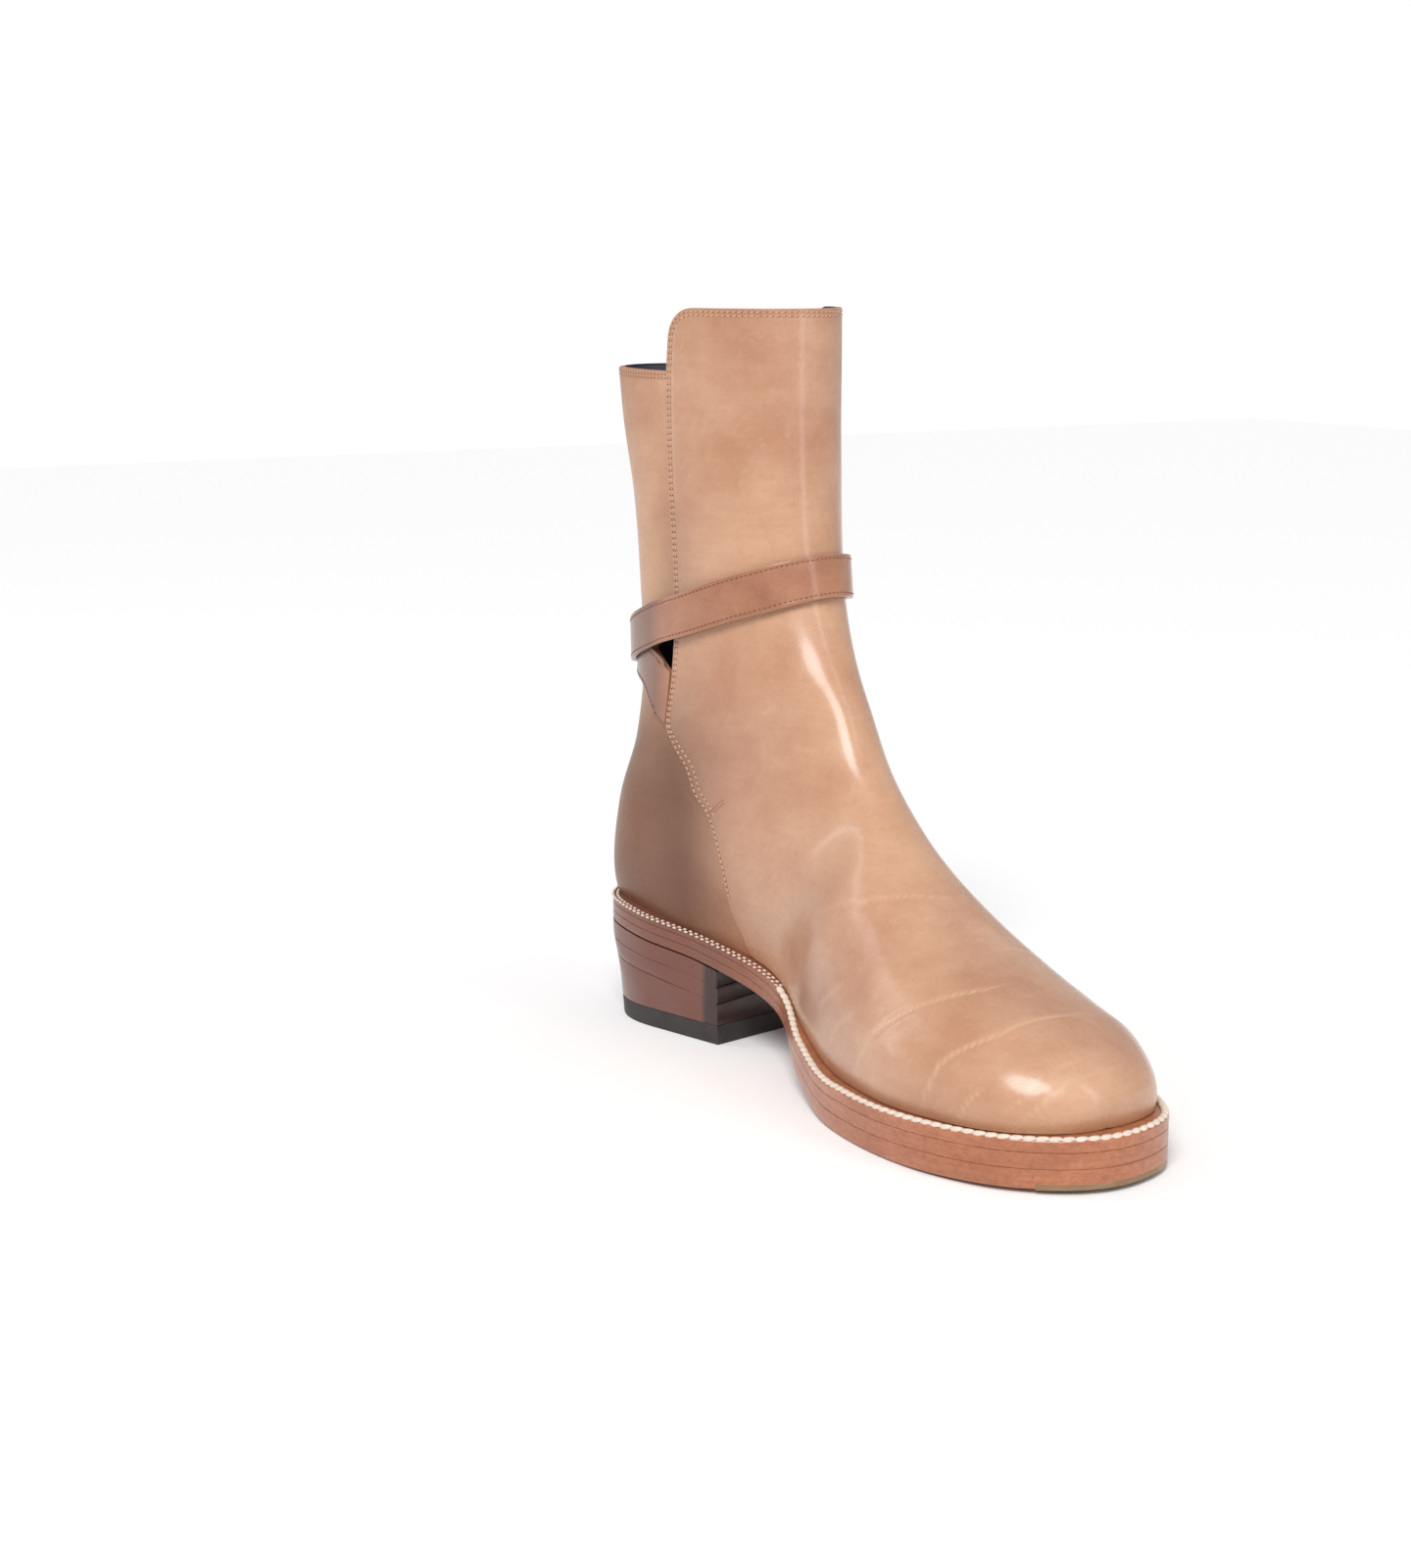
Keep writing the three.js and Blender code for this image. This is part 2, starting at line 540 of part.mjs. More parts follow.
function frontPanelPrism(grow = 0) {
  const topX = panelEdgeRows[0].along * soleLength;
  const outline = [];
  for (let i = 0; i <= 6; i += 1) {
    const angle = mix(Math.PI / 2, Math.PI, i / 6);
    outline.push(new THREE.Vector2(topX - grow + collarCorner + collarCorner * Math.cos(angle),
      frontTop - collarCorner + collarCorner * Math.sin(angle)));
  }
  for (const row of panelEdgeRows) {
    outline.push(new THREE.Vector2(row.along * soleLength - grow, row.up * bootHeight));
  }
  outline.push(new THREE.Vector2(panelEdgeRows.at(-1).along * soleLength - grow, -beyond));
  outline.push(new THREE.Vector2(soleLength + beyond, -beyond));
  outline.push(new THREE.Vector2(soleLength + beyond, frontTop));
  return sidePrism(outline, -ballWidth, ballWidth);
}

// Everything under the line where the upper meets the welt
const belowUpper = (() => {
  const outline = [];
  const places = Array.from({ length: 25 }, (_, i) => mix(-10, soleLength + 10, i / 24));
  for (const x of places) outline.push(new THREE.Vector2(x, weltTop(THREE.MathUtils.clamp(x, 0, soleLength)) + layerGap));
  outline.push(new THREE.Vector2(soleLength + 10, -beyond), new THREE.Vector2(-10, -beyond));
  return sidePrism(outline, -ballWidth, ballWidth);
})();

const backPrism = sidePrism([
  new THREE.Vector2(-beyond, -beyond), new THREE.Vector2(soleLength + beyond, -beyond),
  new THREE.Vector2(soleLength + beyond, backTop), new THREE.Vector2(-beyond, backTop),
], -ballWidth, ballWidth);

// Small three-cornered openings between the panels, under the long strap
const notchUp = 0.507;
const notch = (fromY, toY) => {
  const z = notchUp * bootHeight;
  const edge = panelX(notchUp);
  return sidePrism([
    new THREE.Vector2(edge - 0.4, z + 16), new THREE.Vector2(edge - 15, z + 9.5),
    new THREE.Vector2(edge - 0.8, z),
  ], fromY, toY);
};

const upper = form(-lap / 2).intersect(backPrism)
  .add(form(lap / 2).intersect(frontPanelPrism()))
  .subtract(form(-lap / 2 - wall))
  .subtract(belowUpper)
  .subtract(notch(-ballWidth, -12))
  .subtract(notch(12, ballWidth));

const insole = soleLayer((x) => weltBand(x) + layerGap, weltFloor, (x) => weltTop(x) + insoleRise)
  .intersect(form(-lap / 2 - wall - stitchSlack));

// Point on the form at an angle and a height, with the outward normal
function surfaceAt(angle, z) {
  let low = 0;
  let high = sectionKnots[9];
  for (let i = 0; i < 40; i += 1) {
    const middle = (low + high) / 2;
    if (sectionPoint(sectionAt(middle), angle).z > z) low = middle;
    else high = middle;
  }
  return sectionPoint(sectionAt(low), angle);
}
function surfaceNormal(angle, z) {
  const sidewise = surfaceAt(angle + 0.02, z).sub(surfaceAt(angle - 0.02, z));
  const upwards = surfaceAt(angle, z + 1.5).sub(surfaceAt(angle, z - 1.5));
  return upwards.cross(sidewise).normalize();
}

// Angle in degrees at which the form reaches a given X on its outer or inner side
function turnAt(x, z, side) {
  let [front, back] = side === 'outer' ? [90, -90] : [90, 270];
  for (let i = 0; i < 30; i += 1) {
    const middle = (front + back) / 2;
    if (surfaceAt(THREE.MathUtils.degToRad(middle), z).x > x) front = middle;
    else back = middle;
  }
  return (front + back) / 2;
}

// Strap as a band on the form. Its rows give the place round the ankle in degrees (90 front,
// 180 inner side, 270 or -90 back, 0 outer side), the height of its middle as a share of
// strapFrontHeight, and the distance of its inner face from the form.
function strapBand(rows, stations, pointTurn = 0) {
  const [from, to] = [rows[0].turn, rows.at(-1).turn];
  const way = Math.sign(to - from);
  const path = curveThrough(rows.map((row) => way * (row.turn - from)), rows, ['up', 'off']);
  const place = (turn) => {
    const { up, off } = path(way * (turn - from));
    return { angle: THREE.MathUtils.degToRad(turn), z: up * strapFrontHeight, off };
  };
  const rings = [];
  for (let i = 0; i <= stations; i += 1) {
    const turn = mix(from, to, i / stations);
    const { angle, z, off } = place(turn);
    const [ahead, behind] = [place(turn + 0.5), place(turn - 0.5)];
    const run = surfaceAt(ahead.angle, ahead.z).sub(surfaceAt(behind.angle, behind.z));
    const steep = run.length() / Math.hypot(run.x, run.y);
    const point = pointTurn > 0 ? Math.min(1, 0.15 + Math.abs(to - turn) / pointTurn) : 1;
    const half = (strapWidth / 2) * steep * point;
    rings.push([[-1, 0], [0, 0], [1, 0], [1, 1], [0, 1], [-1, 1]].map(([side, outer]) => {
      const height = z + side * half;
      const normal = surfaceNormal(angle, height);
      return surfaceAt(angle, height).addScaledVector(normal, off + outer * strapThickness);
    }));
  }
  return toSolid(loft(rings));
}

const onBackPanel = -lap / 2 + layerGap + 0.2;
const onFrontPanel = lap / 2 + strapLift;
const overStrap = onBackPanel + strapThickness + 0.5;
const barRadius = buckleBar / 2;
const centreBarOff = onBackPanel + strapThickness + barRadius + 0.2;
const underBars = centreBarOff + barRadius + layerGap;
const outerBarOff = underBars + strapThickness + 2 * layerGap + barRadius;
const rootUp = 0.723;
const rootX = panelX((rootUp * strapFrontHeight) / bootHeight) + 4;
const buckleUp = 0.945;
const buckleZ = buckleUp * strapFrontHeight;
const buckleTurn = turnAt(buckleX, buckleZ, 'outer');
const tipTurn = turnAt(buckleX - tipReach, buckleZ, 'outer');

const frontPanelRoom = form(lap / 2 + layerGap).intersect(frontPanelPrism(layerGap));

const longStrap = strapBand([
  { turn: turnAt(rootX, rootUp * strapFrontHeight, 'outer'), up: rootUp, off: onBackPanel },
  { turn: -22, up: 0.748, off: onBackPanel + 1.4 },
  { turn: -45, up: 0.778, off: overStrap },
  { turn: -90, up: 0.808, off: overStrap },
  { turn: -135, up: 0.835, off: overStrap },
  { turn: -165, up: 0.872, off: overStrap },
  { turn: -190, up: 0.914, off: overStrap - 0.4 },
  { turn: -220, up: 0.962, off: onFrontPanel + 0.2 },
  { turn: -270, up: 1.000, off: onFrontPanel },
  { turn: -320, up: 0.984, off: onFrontPanel + 0.3 },
  { turn: buckleTurn - 360 + 14, up: 0.957, off: underBars - 0.5 },
  { turn: buckleTurn - 360, up: buckleUp, off: underBars },
  { turn: tipTurn - 360, up: 0.934, off: underBars - 0.3 },
], 64, 9).subtract(frontPanelRoom);
const shortStrap = strapBand([
  { turn: turnAt(rootX, rootUp * strapFrontHeight, 'inner'), up: rootUp, off: onBackPanel },
  { turn: 194, up: 0.788, off: onBackPanel },
  { turn: 225, up: 0.810, off: onBackPanel },
  { turn: 270, up: 0.832, off: onBackPanel },
  { turn: 300, up: 0.866, off: onBackPanel },
  { turn: 326, up: 0.908, off: onBackPanel },
  { turn: buckleTurn + 360 - 2.2, up: buckleUp, off: onBackPanel },
], 26).subtract(frontPanelRoom);

// Buckle's own axes: along the strap to the front, across it upwards, and out of the boot
const buckleCentre = surfaceAt(THREE.MathUtils.degToRad(buckleTurn), buckleZ);
const buckleOut = surfaceNormal(THREE.MathUtils.degToRad(buckleTurn), buckleZ);
const buckleAlong = (() => {
  const ahead = surfaceAt(THREE.MathUtils.degToRad(buckleTurn + 8), (buckleUp + 0.007) * strapFrontHeight);
  const behind = surfaceAt(THREE.MathUtils.degToRad(buckleTurn - 8), (buckleUp - 0.007) * strapFrontHeight);
  const along = ahead.sub(behind);
  return along.addScaledVector(buckleOut, -along.dot(buckleOut)).normalize();
})();
const buckleAcross = buckleOut.clone().cross(buckleAlong);
const buckleSpot = (along, across, out) => buckleCentre.clone()
  .addScaledVector(buckleAlong, along).addScaledVector(buckleAcross, across).addScaledVector(buckleOut, out);

// Round bar along points; a closed one joins its last point to its first
function roundBar(points, radius, closed = false) {
  const count = points.length;
  const rings = points.map((point, i) => {
    const next = points[closed ? (i + 1) % count : Math.min(i + 1, count - 1)];
    const before = points[closed ? (i + count - 1) % count : Math.max(i - 1, 0)];
    const run = next.clone().sub(before).normalize();
    const reference = Math.abs(run.dot(buckleOut)) > 0.9 ? buckleAlong : buckleOut;
    const side = run.clone().cross(reference).normalize();
    const up = side.clone().cross(run);
    return Array.from({ length: 8 }, (_, k) => {
      const angle = (k * Math.PI) / 4;
      return point.clone().addScaledVector(side, radius * Math.cos(angle)).addScaledVector(up, radius * Math.sin(angle));
    });
  });
  return toSolid(loft(closed ? [...rings, rings[0]] : rings, closed));
}

// Frame with round corners, bowed so that its centre bar lies under the strap
const buckleFrame = (() => {
  const [halfLength, halfHeight] = [buckleLength / 2 - barRadius, buckleHeight / 2 - barRadius];
  const outline = [];
  for (const [sx, sy, start] of [[1, 1, 0], [-1, 1, 90], [-1, -1, 180], [1, -1, 270]]) {
    for (let i = 0; i <= 3; i += 1) {
      const angle = THREE.MathUtils.degToRad(start + i * 30);
      outline.push([sx * (halfLength - buckleCorner) + buckleCorner * Math.cos(angle),
        sy * (halfHeight - buckleCorner) + buckleCorner * Math.sin(angle)]);
    }
    if (start === 0 || start === 180) {
      for (const share of [0.5, 0, -0.5]) outline.push([sx * share * (halfLength - buckleCorner), sy * halfHeight]);
    }
  }
  const bow = (along) => mix(outerBarOff, centreBarOff, Math.cos((Math.PI * along) / (2 * halfLength)) ** 1.5);
  const loop = outline.map(([along, across]) => buckleSpot(along, across, bow(Math.min(Math.abs(along), halfLength))));
  const bar = roundBar([buckleSpot(0, -halfHeight, centreBarOff), buckleSpot(0, halfHeight, centreBarOff)], barRadius);
  return roundBar(loop, barRadius, true).add(bar);
})();

// Prong: from the centre bar up through the strap and over the front bar
const prong = (radius) => roundBar([
  [barRadius + layerGap + prongThickness / 2, centreBarOff - 0.1], [2.6, underBars + 0.4],
  [3.6, underBars + strapThickness * 0.8], [4.8, outerBarOff + 0.7],
  [buckleLength / 2 - barRadius, outerBarOff + barRadius + layerGap + prongThickness / 2],
  [buckleLength / 2 + 1.6, outerBarOff + barRadius * 0.9 + prongThickness / 2],
].map(([along, out]) => buckleSpot(along, 0, out)), radius);
const bucklePin = prong(prongThickness / 2);
const longStrapPierced = longStrap.subtract(prong(prongThickness / 2 + 1.5 * layerGap));

const finish = {
  leather: { color: 0xd69f78, roughness: 0.42, metalness: 0 },
  strap: { color: 0xbb7957, roughness: 0.45, metalness: 0 },
  sole: { color: 0xb2754c, roughness: 0.4, metalness: 0 },
  heel: { color: 0x7b5243, roughness: 0.4, metalness: 0 },
  rubber: { color: 0x2a2524, roughness: 0.7, metalness: 0 },
  brass: { color: 0xc8a878, roughness: 0.35, metalness: 1 },
  insole: { color: 0xb98f68, roughness: 0.7, metalness: 0 },
};

const boot = new THREE.Group();
boot.position.set(-heelCentreX, 0, 0);
function add(name, solid, look) {
  const mesh = new THREE.Mesh(toGeometry(solid), new THREE.MeshStandardMaterial(finish[look]));
  mesh.name = name;
  boot.add(mesh);
}
add('outsole', outsole, 'sole');
add('midsole', midsole, 'sole');
add('welt', welt, 'sole');
add('toe_plate', toePlate, 'brass');
add('top_lift', topLift, 'rubber');
heelLifts.forEach((lift, i) => add(`heel_lift_${i + 1}`, lift, 'heel'));
add('upper', upper, 'leather');
add('insole', insole, 'insole');
add('strap_long', longStrapPierced, 'strap');
add('strap_short', shortStrap, 'strap');
add('buckle_frame', buckleFrame, 'brass');
add('buckle_prong', bucklePin, 'brass');

export default boot;
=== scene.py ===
"""Jodhpur boot, left foot, in tan veg-tanned leather with a stitched welt, a stacked heel, a brass
toe plate and a buckled ankle strap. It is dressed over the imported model, in the same frame.

The last is a fan of sections in millimetres. A spot on it is a section's number and an angle in
that section, and every panel, strap, seam and crease is laid out from such spots.
"""
import math

import bmesh
import bpy
import numpy as np
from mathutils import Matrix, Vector


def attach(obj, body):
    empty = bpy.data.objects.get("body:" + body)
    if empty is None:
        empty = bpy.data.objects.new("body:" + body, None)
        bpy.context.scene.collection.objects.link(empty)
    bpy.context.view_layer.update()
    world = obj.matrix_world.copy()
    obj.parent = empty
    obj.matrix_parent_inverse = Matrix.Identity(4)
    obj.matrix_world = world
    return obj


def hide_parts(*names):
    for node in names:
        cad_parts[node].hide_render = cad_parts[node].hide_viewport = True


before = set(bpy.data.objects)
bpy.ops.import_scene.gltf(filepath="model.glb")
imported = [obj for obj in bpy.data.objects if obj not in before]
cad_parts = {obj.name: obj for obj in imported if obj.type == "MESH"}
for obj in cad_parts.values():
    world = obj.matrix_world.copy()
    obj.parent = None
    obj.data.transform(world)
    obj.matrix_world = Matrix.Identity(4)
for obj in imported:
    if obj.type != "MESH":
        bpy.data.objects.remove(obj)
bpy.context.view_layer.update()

# Sizes of the boot in millimetres, X from the back of the welt to the toe
SOLE_LENGTH, BALL_WIDTH, WAIST_WIDTH, HEEL_WIDTH = 300.0, 100.0, 58.0, 70.0
HEEL_HEIGHT, TOE_SPRING = 39.9, 2.0
BALL_REST = (191.0, 223.0)
OUTSOLE, MIDSOLE, WELT = 7.0, 5.6, 4.2
WAIST_THINNING, WELT_WIDTH, LAYER_GAP = 0.6, 6.8, 0.3
HEEL_TURN, HEEL_X = math.radians(12.5), 41.0
HEEL_BASE_WIDTH, HEEL_BASE_BACK, HEEL_SEAT_BACK, HEEL_BREAST = 60.0, 34.6, 39.5, 36.5
HEEL_ROUNDNESS, TOP_LIFT, HEEL_LIFT = 2.3, 7.6, 6.6
BOOT_HEIGHT, INSTEP_HEIGHT, SHAFT_DEPTH, SHAFT_WIDTH = 281.0, 122.3, 105.0, 66.0
TOE_INSET, TOE_TIP_HEIGHT, TOE_ROUNDNESS, TOE_SLOPE = 8.5, 26.5, 2.4, -0.30
WALL, LAP, BACK_DROP, COLLAR_CORNER, SIDE_BULGE, WAIST_TUCK = 1.8, 1.1, 23.5, 15.0, 1.6, 7.6
STRAP_WIDTH, STRAP_THICKNESS, STRAP_FRONT = 16.0, 2.0, 182.5

# Sole outline: along as a share of its length, across in millimetres
OUTLINE = np.array([
    (0.000, -0.114 * HEEL_WIDTH), (0.027, -0.351 * HEEL_WIDTH), (0.067, -0.474 * HEEL_WIDTH),
    (0.149, -0.496 * HEEL_WIDTH), (0.254, -0.424 * WAIST_WIDTH), (0.384, -0.286 * WAIST_WIDTH),
    (0.509, -0.314 * BALL_WIDTH), (0.641, -0.442 * BALL_WIDTH), (0.754, -0.476 * BALL_WIDTH),
    (0.851, -0.443 * BALL_WIDTH), (0.934, -0.332 * BALL_WIDTH), (0.987, -0.146 * BALL_WIDTH),
    (0.998, 0.028 * BALL_WIDTH), (0.966, 0.276 * BALL_WIDTH), (0.876, 0.437 * BALL_WIDTH),
    (0.771, 0.514 * BALL_WIDTH), (0.654, 0.521 * BALL_WIDTH), (0.537, 0.459 * BALL_WIDTH),
    (0.401, 0.698 * WAIST_WIDTH), (0.244, 0.604 * HEEL_WIDTH), (0.101, 0.489 * HEEL_WIDTH),
    (0.031, 0.306 * HEEL_WIDTH), (0.001, 0.114 * HEEL_WIDTH)]) * (SOLE_LENGTH, 1.0)

# Underside of the sole: along, share of heel height, share of toe spring, fullness of the layers
SIDE = np.array([
    (0.000, 1.000, 0, 0.00), (0.137, 0.907, 0, 0.00), (0.237, 0.790, 0, 0.00),
    (0.337, 0.608, 0, 0.02), (0.437, 0.360, 0, 0.10), (0.537, 0.134, 0, 0.45),
    (0.595, 0.034, 0, 0.70), (0.637, 0.000, 0, 0.85), (0.743, 0.000, 0, 0.95),
    (0.853, 0.000, 0.45, 1.00), (1.010, 0.000, 1, 1.00)])

# Sections of the last, top down. Shaft: ridge and base along (of the shaft's depth) and up (to the
# top), width, belly, skew of the base. Foot: the same along the sole and up the instep and the heel,
# with the skews of ridge and base, the lean of the arch and the outer side's bulge in SIDE_BULGEs.
SHAFT_ROWS = [
    (1.012, 1.120, -0.040, 1.090, 1.025, 0.50, -3), (1.014, 0.892, 0.007, 0.907, 1.015, 0.50, -3),
    (1.015, 0.751, 0.041, 0.810, 0.997, 0.50, -3), (1.023, 0.609, 0.122, 0.675, 0.970, 0.49, -3),
    (1.041, 0.467, 0.165, 0.521, 0.945, 0.47, -3), (1.076, 0.360, 0.192, 0.388, 0.920, 0.44, -3.5),
    (1.145, 0.253, 0.158, 0.247, 0.925, 0.38, -4.5), (1.222, 0.167, 0.074, 0.127, 0.961, 0.31, -6)]
FOOT_ROWS = [
    (0.454, 1.112, 0.006, 1.140, 0.27, 3.5, -7, 0, 0.5),
    (0.483, 0.997, 0.102, 0.441, 0.28, 3, -2, 1, 0.5),
    (0.530, 0.875, 0.303, 0.201, 0.30, 2, 7, 4.5, 0.5),
    (0.586, 0.758, 0.453, 0.050, 0.34, 0.5, 8, 3.5, 0.5),
    (0.645, 0.646, 0.570, 0.000, 0.36, -1, 3.5, 1.2, 0.5),
    (0.716, 0.544, 0.670, 0.000, 0.40, -2.5, 1, 0, 0.5),
    (0.797, 0.468, 0.770, 0.025, 0.42, -3.5, 0, 0, 1.25),
    (0.853, 0.420, 0.843, 0.075, 0.45, -4, -2, 0, 2.9)]
RIDGE_SKEW, SHAFT_POWER, UPPER_POWER, REAR_POWER, FOOT_POWER = 4.0, 2.1, 2.1, 2.3, 2.5
TOE_REACH = 0.998           # the toe's tip as a share of the sole's length
FOOT_END, DOME = 599, 120   # number of the section where the toe's dome starts, sections in the dome

# Inner side drawn in under the arch: place, spread behind and ahead of it as shares of the sole, height
TUCK_PLACE, TUCK_BEHIND, TUCK_AHEAD, TUCK_HEIGHT = 0.33, 0.12, 0.2, 32.0

# Rear edge of the front panel in the side view: share of the boot's height, share of the sole
PANEL_EDGE = [
    (0.900, 0.214), (0.760, 0.212), (0.694, 0.216), (0.628, 0.219), (0.560, 0.219), (0.507, 0.215),
    (0.437, 0.209), (0.409, 0.228), (0.389, 0.239), (0.346, 0.247), (0.322, 0.268), (0.291, 0.286),
    (0.248, 0.297), (0.192, 0.297), (0.154, 0.306), (0.100, 0.318)]


def mix(a, b, share):
    return a + (b - a) * share


def run_along(points):
    """Distance of each point of a line from its start."""
    return np.concatenate([[0], np.cumsum(np.linalg.norm(np.diff(points, axis=0), axis=1))])


def curve_through(knots, table):
    """Smooth curve through the rows of a table; knots rise."""
    knots, table = np.asarray(knots, float), np.asarray(table, float)
    step = np.diff(knots)[:, None]
    slope = np.diff(table, axis=0) / step
    middle = (slope[:-1] * step[1:] + slope[1:] * step[:-1]) / (step[1:] + step[:-1])
    tangent = np.vstack([slope[:1], middle, slope[-1:]])

    def at(place):
        place = np.atleast_1d(np.asarray(place, float))
        i = np.clip(np.searchsorted(knots, place, side="right") - 1, 0, len(knots) - 2)
        span = (knots[i + 1] - knots[i])[..., None]
        u = (place - knots[i])[..., None] / span
        return ((2 * u**3 - 3 * u**2 + 1) * table[i] + (u**3 - 2 * u**2 + u) * span * tangent[i]
                + (3 * u**2 - 2 * u**3) * table[i + 1] + (u**3 - u**2) * span * tangent[i + 1])
    return at


def outline_points(steps=14):
    """The sole's outline as a dense closed line."""
    found, count = [], len(OUTLINE)
    for i in range(count):
        p0, p1, p2, p3 = (OUTLINE[(i + k) % count] for k in (-1, 0, 1, 2))
        d0, d1, d2 = (max(np.linalg.norm(b - a), 1e-4) ** 0.5
                      for a, b in ((p0, p1), (p1, p2), (p2, p3)))
        m1 = ((p1 - p0) / d0 - (p2 - p0) / (d0 + d1) + (p2 - p1) / d1) * d1
        m2 = ((p2 - p1) / d1 - (p3 - p1) / (d1 + d2) + (p3 - p2) / d2) * d1
        u = (np.arange(steps) / steps)[:, None]
        found.append((2 * u**3 - 3 * u**2 + 1) * p1 + (u**3 - 2 * u**2 + u) * m1
                     + (3 * u**2 - 2 * u**3) * p2 + (u**3 - u**2) * m2)
    return np.vstack(found)


OUTLINE_POINTS = outline_points()


def inset_outline(inset_at):
    """The sole's outline drawn in by inset_at(x)."""
    along = np.roll(OUTLINE_POINTS, -1, 0) - np.roll(OUTLINE_POINTS, 1, 0)
    along /= np.linalg.norm(along, axis=1)[:, None]
    inset = inset_at(OUTLINE_POINTS[:, 0])
    return OUTLINE_POINTS + np.stack([-along[:, 1], along[:, 0]], 1) * np.reshape(inset, (-1, 1))


class Edges:
    """Inner and outer edge of a closed outline over X."""
    def __init__(self, points):
        lo, hi = points[:, 0].argmin(), points[:, 0].argmax()
        self.low, self.high = points[lo, 0], points[hi, 0]
        forward = np.roll(points, -lo, 0)
        turn = (hi - lo) % len(points)
        self.chains = [forward[:turn + 1], np.vstack([forward[turn:], forward[:1]])[::-1]]
        self.chains = [chain[np.argsort(chain[:, 0])] for chain in self.chains]

    def inner(self, x):
        return np.interp(x, self.chains[0][:, 0], self.chains[0][:, 1])

    def outer(self, x):
        return np.interp(x, self.chains[1][:, 0], self.chains[1][:, 1])


SIDE_CURVE = curve_through(SIDE[:, 0], SIDE[:, 1:])


def underside(x):
    """Height of the sole's underside above the floor."""
    row = SIDE_CURVE(np.asarray(x) / SOLE_LENGTH)
    z = np.maximum(0, row[..., 0] * HEEL_HEIGHT + row[..., 1] * TOE_SPRING)
    return np.where((x >= BALL_REST[0]) & (x <= BALL_REST[1]), 0, z)


def fullness(x):
    """Thickness of the sole's layers as a share of that in the forefoot."""
    return mix(WAIST_THINNING, 1, np.clip(SIDE_CURVE(np.asarray(x) / SOLE_LENGTH)[..., 2], 0, 1))


def midsole_floor(x):
    return underside(x) + OUTSOLE * fullness(x)


def welt_floor(x):
    return midsole_floor(x) + MIDSOLE * fullness(x)


def welt_top(x):
    return welt_floor(x) + WELT * fullness(x)


def welt_show(x):
    """How far the welt stands out of the upper."""
    share = np.asarray(x) / SOLE_LENGTH
    return (WELT_WIDTH * mix(0.88, 1, np.clip(share, 0, 1))
            * (1 - 0.42 * np.exp(-((share - 0.38) / 0.12) ** 2)))


FEATHER = Edges(inset_outline(welt_show))


def last_sections():
    """Dense table of the last's sections: ridge x and z, base x and z, skew of ridge and base, width
    of the inner and outer side, belly, power of the lower half."""
    seat = welt_top(0.0).item()
    table = []
    for ridge, up, base, base_up, wide, belly, skew in SHAFT_ROWS:
        half = wide * SHAFT_WIDTH / 2
        table.append((ridge * SHAFT_DEPTH, mix(INSTEP_HEIGHT, BOOT_HEIGHT, up), base * SHAFT_DEPTH,
                      mix(seat, BOOT_HEIGHT, base_up), RIDGE_SKEW, skew, half, half, belly, SHAFT_POWER))
    for i, (ridge, up, base, base_up, belly, top, skew, lean, swell) in enumerate(FOOT_ROWS):
        ridge_x, base_x = ridge * SOLE_LENGTH, base * SOLE_LENGTH
        across = max(mix(base_x, ridge_x, belly * 0.8), HEEL_X)
        centre = mix(skew, top, belly)
        table.append((ridge_x, up * INSTEP_HEIGHT, base_x, base_up * HEEL_HEIGHT, top, skew,
                      centre - FEATHER.inner(across) + SIDE_BULGE + lean,
                      FEATHER.outer(across) - centre + SIDE_BULGE * swell, belly,
                      REAR_POWER if i < 2 else FOOT_POWER))
    table = np.array(table, float)
    ridge_step, base_step = (np.hypot(*np.diff(table[:, k:k + 2], axis=0).T) for k in (0, 2))
    knots = np.concatenate([[0], np.cumsum(ridge_step + 0.35 * base_step)])
    dense = curve_through(knots, table)(np.linspace(0, knots[-1], FOOT_END + 1))
    last = dense[-1]
    share = np.sin(np.linspace(0, 1, DOME + 1)[1:] * math.pi / 2)
    shrink = np.maximum(1 - share**2, 0) ** (1 / TOE_ROUNDNESS)
    toe_tip = TOE_REACH * SOLE_LENGTH - TOE_INSET
    across = mix(mix(last[2], last[0], last[8] * 0.8), FEATHER.high - 0.02, share)
    centre = mix(mix(last[5], last[4], last[8]), 1, share)
    ridge_x = mix(last[0], toe_tip, share)
    dome = np.tile(last, (len(share), 1))
    dome[:, 0], dome[:, 2] = ridge_x, mix(last[2], toe_tip, share)
    dome[:, 1] = mix(TOE_TIP_HEIGHT, last[1] + TOE_SLOPE * (ridge_x - last[0]), shrink)
    dome[:, 3] = mix(TOE_TIP_HEIGHT, last[3], shrink)
    dome[:, 4], dome[:, 5] = mix(last[4], 1, share), mix(last[5], 1, share)
    live = shrink > 0
    dome[:, 6] = np.where(live, centre - FEATHER.inner(across) + SIDE_BULGE * shrink, 0)
    swell = SIDE_BULGE * FOOT_ROWS[-1][-1] * shrink
    dome[:, 7] = np.where(live, FEATHER.outer(across) - centre + swell, 0)
    return np.vstack([dense, dome])


SECTIONS = last_sections()
TIP = FOOT_END + DOME


def waist_tuck(x, z):
    """How far the inner side is drawn in under the arch."""
    share = x / SOLE_LENGTH - TUCK_PLACE
    above = np.maximum(z - np.reshape(welt_top(np.clip(x, 0, SOLE_LENGTH)), np.shape(x)), 0)
    near = (share / np.where(share < 0, TUCK_BEHIND, TUCK_AHEAD)) ** 2
    return WAIST_TUCK * np.exp(-near - (above / TUCK_HEIGHT) ** 2)


def section_at(place):
    low = np.minimum(place.astype(int), TIP - 1)
    return mix(SECTIONS[low], SECTIONS[low + 1], (place - low)[..., None])


